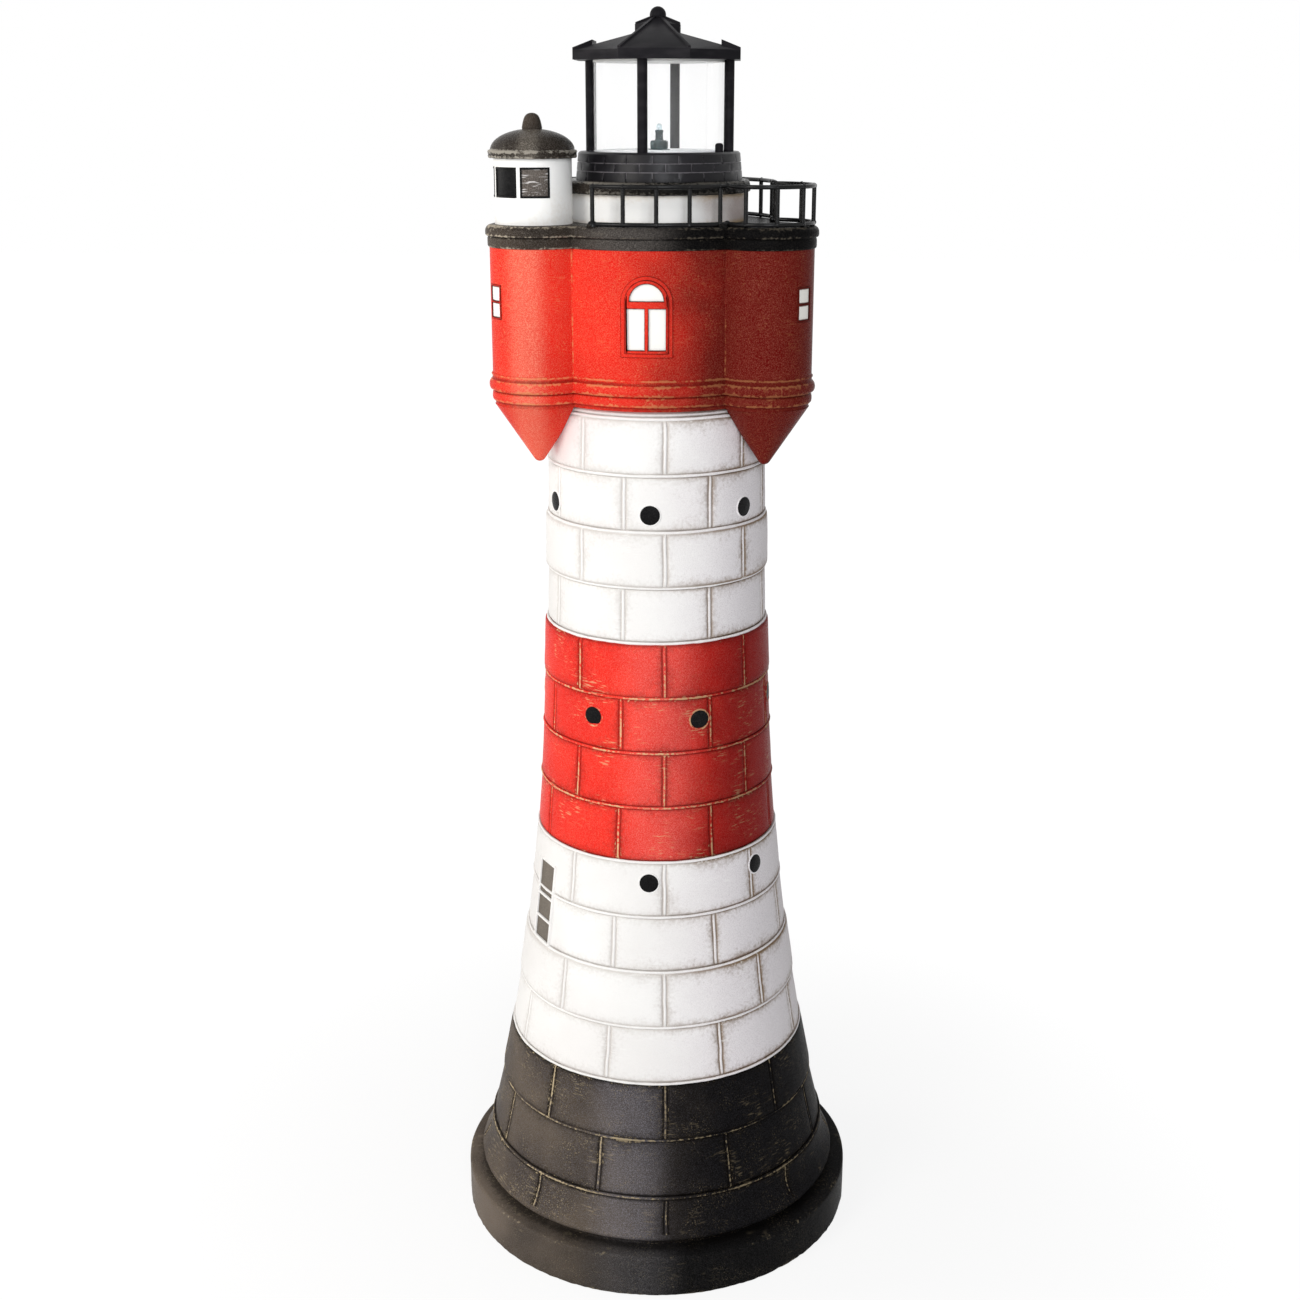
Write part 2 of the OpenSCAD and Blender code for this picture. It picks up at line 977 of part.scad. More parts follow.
// The black foot of the lantern, moulded as three rows of bricks
module brick_ring() {
    rows = 3;
    bricks = 20;
    line_w = 0.9;
    line_depth = 0.5;
    row_h = (brick_h - 2) / rows;
    color(lantern_black)
        difference() {
            aside() {
                translate([0, 0, lantern_z])
                    cylinder(h = brick_h - 1.6, r1 = brick_r, r2 = brick_top_r + 0.2);
                translate([0, 0, ledge_z - 1.6])
                    cylinder(h = 1.6, r1 = brick_top_r + 0.2, r2 = brick_top_r - 1.4);
            }
            aside() {
                translate([0, 0, lantern_z - 1])
                    cylinder(h = brick_h - shell_t + 1, r = brick_top_r - shell_t);
                for (j = [1:rows - 1])
                    ring(brick_r + 5, brick_r - line_depth - j, lantern_z + j * row_h, line_w);
                for (j = [0:rows - 1])
                    for (i = [0:bricks - 1])
                        at_angle((i + (j % 2) / 2) * 360 / bricks)
                            translate([brick_r - line_depth - 0.8 - j, -line_w / 2, lantern_z + j * row_h])
                                cube([8, line_w, row_h]);
            }
            post_places(2, 2)
                translate([0, 0, lantern_z])
                    cylinder(h = brick_h + 5, r = tube_r, $fn = 24);
        }
}

module locating_skirt() {
    color(lantern_black)
        aside()
            ring(skirt_r, skirt_r - skirt_t, lantern_z - skirt_drop, brick_h - shell_t + skirt_drop);
}

module lantern_floor() {
    color(steel_grey)
        aside()
            translate([0, 0, ledge_z])
                cylinder(h = floor_h, r = glass_r);
}

module lantern_posts() {
    color(lantern_black)
        post_places(0, 3)
            translate([0, 0, ledge_z])
                difference() {
                    cylinder(h = post_h, r = post_d / 2, $fn = 48);
                    translate([0, 0, -1])
                        cylinder(h = post_h + 2, r = tube_r, $fn = 24);
                }
}

ceiling_t = 1.8;

module glazing() {
    color([0.9, 0.95, 1, 0.3])
        aside()
            ring(glass_r, glass_r - glass_t, ledge_z + floor_h, post_h - floor_h - ceiling_t);
}

module ceiling_plate() {
    color(pane_white)
        aside()
            translate([0, 0, eave_z - ceiling_t])
                cylinder(h = ceiling_t, r = glass_r);
}

// A low rounded clip on the ledge, outside the clear sheet and beside the right post
module glazing_clip() {
    clip_angle = 61;
    clip_c = 64;
    clip_r = 3.7;
    clip_h = 7.8;
    color(lantern_black)
        aside()
            at_angle(clip_angle)
                translate([clip_c, 0, ledge_z])
                    rotate_extrude($fn = 32)
                        polygon([
                            [0, 0],
                            [clip_r, 0],
                            [clip_r, clip_h - 2.2],
                            [clip_r - 0.6, clip_h - 0.8],
                            [clip_r - 1.8, clip_h - 0.2],
                            [0, clip_h]
                        ]);
}

// ---- Roof ----

roof_turn = 2;
low_slope = 15.5;
high_slope = 22;
low_drop = 0.6;
lip_up = 1.6;
cap_a = 20.1;
panel_in = 21.5;
panel_out = 57;
rib_w = 2.8;
rib_h = 1.4;
roof_corner = roof_a / cos(22.5);
roof_aside = 1;
cell_t = 1.2;
roof_skin = 3;

module octagon(apothem, h) {
    rotate([0, 0, 22.5 + roof_turn])
        cylinder(h = h, r = apothem / cos(22.5), $fn = 8);
}

// An eight-sided block with upright sides of height h and a pitched top
module pitched_block(apothem, slope, h) {
    spread = apothem + (h + 1) / tan(slope);
    intersection() {
        octagon(apothem, h + apothem);
        translate([0, 0, -1])
            rotate([0, 0, 22.5 + roof_turn])
                cylinder(h = spread * tan(slope), r1 = spread / cos(22.5), r2 = 0, $fn = 8);
    }
}

// The wedge of one roof face between two distances from the axis, a little wider than the face
module face_wedge(near, far) {
    side = tan(22.5);
    more = 0.9;
    linear_extrude(60)
        polygon([
            [near, -near * side - more],
            [far, -far * side - more],
            [far, far * side + more],
            [near, near * side + more]
        ]);
}

// The two side faces, which hold the solar panels
module panel_places() {
    for (s = [-1, 1])
        at_angle(roof_turn + 90 * s)
            children();
}

// The proud front and rear faces and the cap
module high_faces() {
    intersection() {
        pitched_block(roof_a, high_slope, fascia_h);
        translate([0, 0, 1])
            union() {
                for (i = [0, 2])
                    at_angle(roof_turn + 90 * i)
                        face_wedge(5, roof_a + 5);
                octagon(cap_a, 60);
            }
    }
}

// The raised lips at the eave outside the solar panels
module eave_lips() {
    intersection() {
        pitched_block(roof_a, high_slope, fascia_h + lip_up);
        translate([0, 0, 1])
            panel_places()
                face_wedge(panel_out, roof_a + 5);
    }
}

// A raised rib along the ridge between two faces, out to a distance from the axis
module ridge_rib(i, reach) {
    near = 2;
    high_fall = tan(high_slope) * cos(22.5);
    low_fall = tan(low_slope) * cos(22.5);
    at_angle(roof_turn + 22.5 + 45 * i)
        translate([0, 0, fascia_h])
            rotate([90, 0, 0])
                linear_extrude(rib_w, center = true)
                    polygon([
                        [near, (roof_corner - near) * high_fall + rib_h],
                        [reach, (roof_corner - reach) * high_fall + rib_h],
                        [reach, (roof_corner - reach) * low_fall - low_drop - 1],
                        [near, (roof_corner - near) * low_fall - low_drop - 1]
                    ]);
}

// A tile that lies in the low slope of each side face, grown sideways by grow and set down by sink
module panel_tiles(grow, sink, h) {
    side = 0.32;
    translate([roof_aside, 0, slope_z - low_drop])
        panel_places()
            intersection() {
                linear_extrude(60, center = true)
                    polygon([
                        [panel_in - grow, -panel_in * side - grow],
                        [panel_out - 1 + grow, -panel_out * side - grow],
                        [panel_out - 1 + grow, panel_out * side + grow],
                        [panel_in - grow, panel_in * side + grow]
                    ]);
                translate([roof_a, -40, 0])
                    rotate([0, low_slope, 0])
                        translate([-90, 0, -sink])
                            cube([90, 80, h]);
            }
}

// A hollow roof: proud faces front and rear, four lower faces, and two recesses for the solar panels
module roof() {
    color(lantern_black)
        difference() {
            translate([roof_aside, 0, eave_z])
                union() {
                    pitched_block(roof_a, low_slope, fascia_h - low_drop);
                    high_faces();
                    eave_lips();
                    for (i = [0, 3, 4, 7])
                        ridge_rib(i, roof_corner - 1.2);
                    for (i = [1, 2, 5, 6])
                        ridge_rib(i, cap_a / cos(22.5) - 0.8);
                }
            translate([roof_aside, 0, eave_z + roof_skin])
                pitched_block(roof_a - roof_skin, low_slope, fascia_h - low_drop - 2 * roof_skin);
            aside()
                translate([0, 0, eave_z - 1])
                    cylinder(h = roof_skin + 2, r = glass_r - 6);
            panel_tiles(0.2, cell_t, 10);
            translate([roof_aside, 0, ball_z])
                sphere(r = ball_r);
            post_places(0, 3)
                translate([0, 0, eave_z - 1])
                    cylinder(h = roof_skin + 2, r = tube_r, $fn = 24);
        }
}

module finial_ball() {
    color(lantern_black)
        translate([roof_aside, 0, ball_z])
            sphere(r = ball_r);
}

module solar_panels() {
    color([0.10, 0.09, 0.14])
        panel_tiles(0, cell_t, cell_t);
}

module roof_screws() {
    thread_l = 10;
    color(steel_grey)
        post_places(-1, 1)
            translate([0, 0, eave_z - thread_l]) {
                cylinder(h = thread_l + roof_skin, r = tube_r, $fn = 24);
                translate([0, 0, thread_l + roof_skin])
                    cylinder(h = 1.8, r = 3.2, $fn = 24);
            }
}

// ---- Light and electrics ----

light_z = ledge_z + floor_h;
stem_r = 3.4;
collar_r = 9.9;
collar_h = 0.9;
flange_h = 8.5;
stem_h = 9.2;
lens_r = 2.5;

module led_holder() {
    color([0.07, 0.12, 0.12])
        aside()
            translate([0, 0, light_z]) {
                cylinder(h = collar_h, r = collar_r, $fn = 48);
                cylinder(h = flange_h, r = 8.6, $fn = 6);
                cylinder(h = flange_h + stem_h, r = stem_r, $fn = 32);
            }
}

module led_lens() {
    color([0.85, 0.92, 0.95, 0.5])
        aside()
            translate([0, 0, light_z + flange_h + stem_h]) {
                cylinder(h = 3.1, r = lens_r, $fn = 32);
                translate([0, 0, 3.1])
                    sphere(r = lens_r, $fn = 32);
            }
}

under_z = ledge_z - shell_t;
cell_r = 7.2;
cell_l = 50.5;
box_l = 59;
box_w = 20.5;
box_h = 18;
box_t = 2;

// An open box under the lantern's floor for one rechargeable cell
module battery_box() {
    color(lantern_black)
        translate([-box_l / 2, -box_w / 2, under_z - box_h])
            difference() {
                cube([box_l, box_w, box_h]);
                translate([box_t, box_t, -1])
                    cube([box_l - 2 * box_t, box_w - 2 * box_t, box_h - box_t + 1]);
            }
}

module battery_cell() {
    color([0.20, 0.42, 0.30])
        translate([-cell_l / 2, 0, under_z - box_t - cell_r - 0.3]) {
            rotate([0, 90, 0])
                cylinder(h = cell_l - 1.2, r = cell_r, $fn = 48);
            rotate([0, 90, 0])
                cylinder(h = cell_l, r = 2.6, $fn = 32);
        }
}

module battery_contacts() {
    contact_t = 0.5;
    inner = box_l / 2 - box_t;
    color(steel_grey)
        for (s = [-1, 1])
            translate([s * (inner - contact_t / 2) - contact_t / 2, -6, under_z - box_t - 13])
                cube([contact_t, 12, 12]);
}

module battery_cover() {
    cover_t = 2;
    color(lantern_black)
        translate([-box_l / 2, -box_w / 2, under_z - box_h - cover_t]) {
            cube([box_l, box_w, cover_t]);
            translate([box_l / 2 - 6, box_w / 2 - 1.5, -3])
                cube([12, 3, 3.01]);
        }
}

board_y = 28;
switch_y = -28;

module circuit_board() {
    color([0.10, 0.32, 0.16])
        translate([-16, board_y - 9, under_z - 7]) {
            cube([32, 18, 1.6]);
            for (x = [4, 16, 26])
                translate([x, 6, 1.6])
                    cube([4, 5, 2.2]);
            for (x = [3, 29])
                translate([x, 3, 1.6])
                    cylinder(h = 5.4, r = 1.6, $fn = 24);
        }
}

switch_l = 16;
switch_w = 9;
switch_h = 8;
slot_l = 9;
slot_w = 3.6;

module switch_housing() {
    color(steel_grey)
        translate([-switch_l / 2, switch_y - switch_w / 2, under_z - switch_h])
            difference() {
                cube([switch_l, switch_w, switch_h]);
                translate([(switch_l - slot_l) / 2, (switch_w - slot_w) / 2, -1])
                    cube([slot_l, slot_w, 5]);
            }
}

// The slider stands at its off end and moves 4 mm along +X
module switch_knob() {
    color(wire_black)
        translate([-slot_l / 2 + 0.3, switch_y - slot_w / 2 + 0.3, under_z - switch_h - 3.5])
            cube([4.4, slot_w - 0.6, 7]);
}

// The panels' lead comes down inside the rear post
module panel_lead() {
    color([0.55, 0.10, 0.08])
        post_places(2, 2)
            translate([0, 0, under_z - 6])
                cylinder(h = post_h + 14, r = 1.1, $fn = 24);
}

plinth();
base_plate();
base_screws();
shaft_black();
shaft_white_lower();
shaft_red();
shaft_white_upper();
portholes_upper();
portholes_middle();
portholes_lower();
tall_window_frame();
tall_window_panes();
corbels();
chamber_moulding();
chamber_wall();
arched_window_frame();
arched_window_panes();
bay_window_frames();
bay_window_panes();
cornice();
lantern_pedestal();
pedestal_coping();
turret_wall();
turret_window_frames();
turret_window_panes();
turret_dome();
turret_knob();
front_top_rail();
front_bottom_rail();
front_rail_posts();
bay_top_rail();
bay_bottom_rail();
bay_rail_posts();
rear_top_rail();
rear_bottom_rail();
rear_rail_posts();
brick_ring();
locating_skirt();
lantern_floor();
lantern_posts();
glazing();
glazing_clip();
roof();
finial_ball();
solar_panels();
ceiling_plate();
roof_screws();
led_holder();
led_lens();
circuit_board();
battery_box();
battery_cell();
battery_contacts();
battery_cover();
switch_housing();
switch_knob();
panel_lead();
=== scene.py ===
"""Garden lighthouse ornament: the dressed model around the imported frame.

Sizes in the classes are millimetres, as on a maker's drawing. Angles run from -Y
towards +X, in degrees. Meshes are placed in metres.
"""

import logging
import math
from dataclasses import dataclass
from enum import Enum
from typing import Callable, Optional, Sequence

import bmesh
import bpy
from mathutils import Matrix, Vector, noise


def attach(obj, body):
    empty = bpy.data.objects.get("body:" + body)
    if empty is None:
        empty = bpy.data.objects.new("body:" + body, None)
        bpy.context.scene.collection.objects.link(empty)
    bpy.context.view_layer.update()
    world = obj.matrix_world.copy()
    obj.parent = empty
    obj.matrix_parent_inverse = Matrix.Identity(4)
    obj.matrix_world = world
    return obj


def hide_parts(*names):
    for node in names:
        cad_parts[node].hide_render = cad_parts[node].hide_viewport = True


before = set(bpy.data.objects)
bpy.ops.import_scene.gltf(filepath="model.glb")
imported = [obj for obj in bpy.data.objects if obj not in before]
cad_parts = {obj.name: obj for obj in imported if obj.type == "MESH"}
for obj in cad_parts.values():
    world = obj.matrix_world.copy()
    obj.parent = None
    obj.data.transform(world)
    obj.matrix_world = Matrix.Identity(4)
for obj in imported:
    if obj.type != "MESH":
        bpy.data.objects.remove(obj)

LOG = logging.getLogger("lighthouse")
MM = 0.001
LANTERN_ASIDE = 2.2  # how far the lantern stands towards +X in its well, in millimetres
Socket = bpy.types.NodeSocket
Colour = tuple[float, float, float, float]


def srgb(red: float, green: float, blue: float) -> Colour:
    """Turn a colour as seen on a screen, 0 to 255, into a linear one.

    Args:
        red: Red part.
        green: Green part.
        blue: Blue part.

    Returns:
        The linear colour with full opacity.
    """
    def linear(value: float) -> float:
        """Give one channel's linear value."""
        share = value / 255
        return share / 12.92 if share <= 0.04045 else ((share + 0.055) / 1.055) ** 2.4

    return (linear(red), linear(green), linear(blue), 1.0)


def polar(radius: float, angle: float, z: float) -> Vector:
    """Give the point at an angle from -Y towards +X, in metres.

    Args:
        radius: Distance from the tower's axis in millimetres.
        angle: Angle in degrees.
        z: Height in millimetres.

    Returns:
        The point in the object's frame.
    """
    turn = math.radians(angle)
    return Vector((radius * math.sin(turn), -radius * math.cos(turn), z)) * MM


def wobble(point: Vector, size: float, seed: float = 0.0) -> float:
    """Give smooth repeatable unevenness at a point.

    Args:
        point: The place in metres.
        size: Length of one unevenness in millimetres.
        seed: Shift that makes one piece differ from another.

    Returns:
        A value from about -1 to 1.
    """
    return noise.noise(point / (size * MM) + Vector((seed * 7.31, seed * 3.17, seed)))


# ---------------------------------------------------------------- mesh tools


def only(piece: bpy.types.Object) -> None:
    """Select one piece and make it active."""
    bpy.ops.object.select_all(action="DESELECT")
    piece.select_set(True)
    bpy.context.view_layer.objects.active = piece


def edit(piece: bpy.types.Object) -> None:
    """Open a piece in edit mode with all of it selected."""
    only(piece)
    bpy.ops.object.mode_set(mode="EDIT")
    bpy.ops.mesh.select_mode(type="VERT")
    bpy.ops.mesh.select_all(action="SELECT")


def close_skin(piece: bpy.types.Object, smooth: float = 40.0) -> None:
    """Merge doubles, turn the faces outwards and shade smooth below an angle.

    Args:
        piece: The mesh object.
        smooth: Edges that bend by more than this many degrees stay sharp.
    """
    edit(piece)
    bpy.ops.mesh.remove_doubles(threshold=1e-6)
    bpy.ops.mesh.normals_make_consistent(inside=False)
    bpy.ops.object.mode_set(mode="OBJECT")
    bpy.ops.object.shade_smooth_by_angle(angle=math.radians(smooth))


def apply(piece: bpy.types.Object, kind: str, **settings: object) -> None:
    """Add a modifier with its settings and apply it."""
    only(piece)
    modifier = piece.modifiers.new(kind.title(), kind)
    for name, value in settings.items():
        setattr(modifier, name, value)
    bpy.ops.object.modifier_apply(modifier=modifier.name)


def join(name: str, pieces: Sequence[bpy.types.Object]) -> bpy.types.Object:
    """Join several meshes into one piece of a given name."""
    bpy.ops.object.select_all(action="DESELECT")
    for piece in pieces:
        piece.select_set(True)
    bpy.context.view_layer.objects.active = pieces[0]
    if len(pieces) > 1:
        bpy.ops.object.join()
    pieces[0].name = pieces[0].data.name = name
    return pieces[0]


@dataclass(frozen=True)
class Spot:
    """One point of a skin: its place, and how worn and how dirty the paint is there."""

    place: Vector
    wear: float = 0.0
    grime: float = 0.0


def loft(name: str, rings: Sequence[Sequence[Spot]], around: bool = True) -> bpy.types.Object:
    """Draw a skin out of a circle, ring by ring.

    Args:
        name: Name of the piece.
        rings: Rings of equal length, from one end of the skin to the other.
        around: True if the last ring meets the first, which makes a closed tube.

    Returns:
        The finished piece, with its wear and grime kept as attributes.
    """
    bpy.ops.object.select_all(action="DESELECT")
    bpy.ops.mesh.primitive_circle_add(vertices=len(rings[0]), radius=1.0)
    piece = bpy.context.object
    piece.name = piece.data.name = name
    for layer in ("wear", "grime"):
        piece.data.attributes.new(layer, "FLOAT", "POINT")
    order = piece.data.attributes.new("order", "INT", "POINT")
    for index in range(len(rings[0])):
        order.data[index].value = index
    edit(piece)
    path = list(rings) + ([rings[0]] if around else [])
    for step, ring in enumerate(path):
        if step:
            bpy.ops.mesh.extrude_context_move()
        mesh = bmesh.from_edit_mesh(piece.data)
        layers = mesh.verts.layers
        worn, dirty = layers.float["wear"], layers.float["grime"]
        number = layers.int["order"]
        for vertex in mesh.verts:
            if vertex.select:
                spot = ring[vertex[number]]
                vertex.co = spot.place
                vertex[worn], vertex[dirty] = spot.wear, spot.grime
    bmesh.update_edit_mesh(piece.data)
    bpy.ops.object.mode_set(mode="OBJECT")
    piece.data.attributes.remove(piece.data.attributes["order"])
    close_skin(piece)
    return piece


def lathe(
    name: str,
    profile: Sequence[tuple[float, float, float, float]],
    count: int = 96,
    centre: tuple[float, float] = (0.0, 0.0),
    shape: Optional[Callable[[float, float, float], tuple[float, float]]] = None,
    around: bool = True,
) -> bpy.types.Object:
    """Turn a profile about an upright axis.

    Args:
        name: Name of the piece.
        profile: Radius, height, wear and grime of each point, in millimetres.
        count: Points round the axis.
        centre: The axis in x and y, in millimetres.
        shape: Gives radius and height again from an angle, radius and height.
        around: True if the last point of the profile meets the first.

    Returns:
        The finished piece.
    """
    middle = Vector((centre[0], centre[1], 0)) * MM
    rings = []
    for radius, height, wear, grime in profile:
        ring = []
        for index in range(count):
            angle = index * 360 / count
            r, z = shape(angle, radius, height) if shape else (radius, height)
            ring.append(Spot(polar(r, angle, z) + middle, wear, grime))
        rings.append(ring)
    return loft(name, rings, around)


def softened(node: str, width: float, name: str, limit: float = 35.0, rim: float = 0.0
             ) -> bpy.types.Object:
    """Copy a CAD node and round its edges, with wear marked along them.

    Args:
        node: The CAD node that the copy stands for.
        width: Width of the rounding in millimetres.
        name: Name of the new piece.
        limit: Edges that bend by less than this many degrees stay as they are.
        rim: Width of the dirty rim round its outer faces, or 0 for none.

    Returns:
        The rounded copy.
    """
    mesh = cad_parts[node].data.copy()
    mesh.materials.clear()
    piece = bpy.data.objects.new(name, mesh)
    bpy.context.scene.collection.objects.link(piece)
    for slot in ("face", "edge"):
        mesh.materials.append(bpy.data.materials.new(f"{name}_{slot}"))
    edit(piece)
    bpy.ops.mesh.customdata_custom_splitnormals_clear()
    bpy.ops.mesh.remove_doubles(threshold=2e-6)
    bpy.ops.mesh.dissolve_limited(angle_limit=math.radians(0.6))
    bpy.ops.mesh.normals_make_consistent(inside=False)
    bpy.ops.object.mode_set(mode="OBJECT")
    for polygon in mesh.polygons:
        polygon.material_index = 0
    apply(piece, "BEVEL", width=width * MM, segments=2, limit_method="ANGLE",
          angle_limit=math.radians(limit), material=1, use_clamp_overlap=True)
    if rim:
        inset_outer_faces(piece, rim)
    mesh = piece.data
    flat = {v for polygon in mesh.polygons if not polygon.material_index for v in polygon.vertices}
    edge = {v for polygon in mesh.polygons if polygon.material_index for v in polygon.vertices}
    wear = mesh.attributes.new("wear", "FLOAT", "POINT")
    grime = mesh.attributes.new("grime", "FLOAT", "POINT")
    for index in edge:
        wear.data[index].value = 0.0 if index in flat else 1.0
        grime.data[index].value = 1.0 if rim else 0.0
    for polygon in mesh.polygons:
        polygon.material_index = 0
    for material in list(mesh.materials):
        bpy.data.materials.remove(material)
    mesh.materials.clear()
    only(piece)
    bpy.ops.object.shade_smooth_by_angle(angle=math.radians(32))
    return piece


def inset_outer_faces(piece: bpy.types.Object, width: float) -> None:
    """Inset the faces that look away from the tower's axis, to hold a narrow rim.

    Args:
        piece: The piece, with its edges rounded and its flat faces in slot 0.
        width: Width of the rim in millimetres.
    """
    edit(piece)
    bpy.ops.mesh.select_mode(type="FACE")
    bpy.ops.mesh.select_all(action="DESELECT")
    bpy.ops.object.mode_set(mode="OBJECT")
    for polygon in piece.data.polygons:
        out = Vector((polygon.center.x, polygon.center.y, 0)).normalized()
        polygon.select = polygon.material_index == 0 and polygon.normal.dot(out) > 0.6
    bpy.ops.object.mode_set(mode="EDIT")
    bpy.ops.mesh.inset(thickness=width * MM, depth=0, use_boundary=True, use_even_offset=True)
    bpy.ops.object.mode_set(mode="OBJECT")


# ---------------------------------------------------------------- finishes


class Graph:
    """Writes the nodes of one shader tree."""

    def __init__(self, tree: bpy.types.NodeTree) -> None:
        """Keep the tree that is written to."""
        self.tree = tree

    def add(self, kind: str, inputs: dict, **settings: object) -> bpy.types.Node:
        """Add a node.

        Args:
            kind: The node's type.
            inputs: Value or socket for each input, by its name or number.
            **settings: The node's own settings.

        Returns:
            The new node.
        """
        node = self.tree.nodes.new(kind)
        for name, value in settings.items():
            setattr(node, name, value)
        for key, value in inputs.items():
            if isinstance(value, Socket):
                self.tree.links.new(value, node.inputs[key])
            else:
                node.inputs[key].default_value = value
        return node

    def math(self, operation: str, first: object, second: object = 0.0) -> Socket:
        """Combine two values and give the result's socket."""
        return self.add("ShaderNodeMath", {0: first, 1: second}, operation=operation).outputs[0]

    def mix(self, factor: object, first: object, second: object) -> Socket:
        """Mix two colours and give the result's socket."""
        node = self.add("ShaderNodeMix", {0: factor, 6: first, 7: second}, data_type="RGBA")
        return node.outputs[2]

    def noise(self, vector: Socket, scale: float, detail: float = 3.0) -> Socket:
        """Give a noise value from 0 to 1 at a number of features to the metre."""
        node = self.add("ShaderNodeTexNoise", {"Vector": vector, "Scale": scale, "Detail": detail})
        return node.outputs[0]

    def stretch(self, vector: Socket, factors: tuple[float, float, float]) -> Socket:
        """Scale a vector by three factors."""
        return self.add("ShaderNodeMapping", {"Vector": vector, "Scale": factors}).outputs[0]

    def band(self, value: object, low: float, high: float) -> Socket:
        """Rise smoothly from 0 at low to 1 at high."""
        node = self.add("ShaderNodeMapRange", {0: value, 1: low, 2: high},
                        interpolation_type="SMOOTHSTEP")
        return node.outputs[0]

    def spread(self, value: object, low: object, high: object) -> Socket:
        """Stretch a value of 0 to 1 over low to high."""
        return self.add("ShaderNodeMapRange", {0: value, 3: low, 4: high}).outputs[0]


def new_group(name: str, inputs: Sequence[tuple[str, str, float]], outputs: Sequence[str]
              ) -> tuple[bpy.types.NodeTree, Graph, bpy.types.Node, bpy.types.Node]:
    """Start a shader node group.

    Args:
        name: The group's name.
        inputs: Name, socket type and usual value of each input.
        outputs: Name of each value that comes out.

    Returns:
        The group, its graph, and its input and output nodes.
    """
    tree = bpy.data.node_groups.new(name, "ShaderNodeTree")
    for label, kind, usual in inputs:
        socket = tree.interface.new_socket(label, in_out="INPUT", socket_type=kind)
        if kind == "NodeSocketFloat":
            socket.default_value = usual
    for label in outputs:
        tree.interface.new_socket(label, in_out="OUTPUT", socket_type="NodeSocketFloat")
    graph = Graph(tree)
    return tree, graph, graph.add("NodeGroupInput", {}), graph.add("NodeGroupOutput", {})


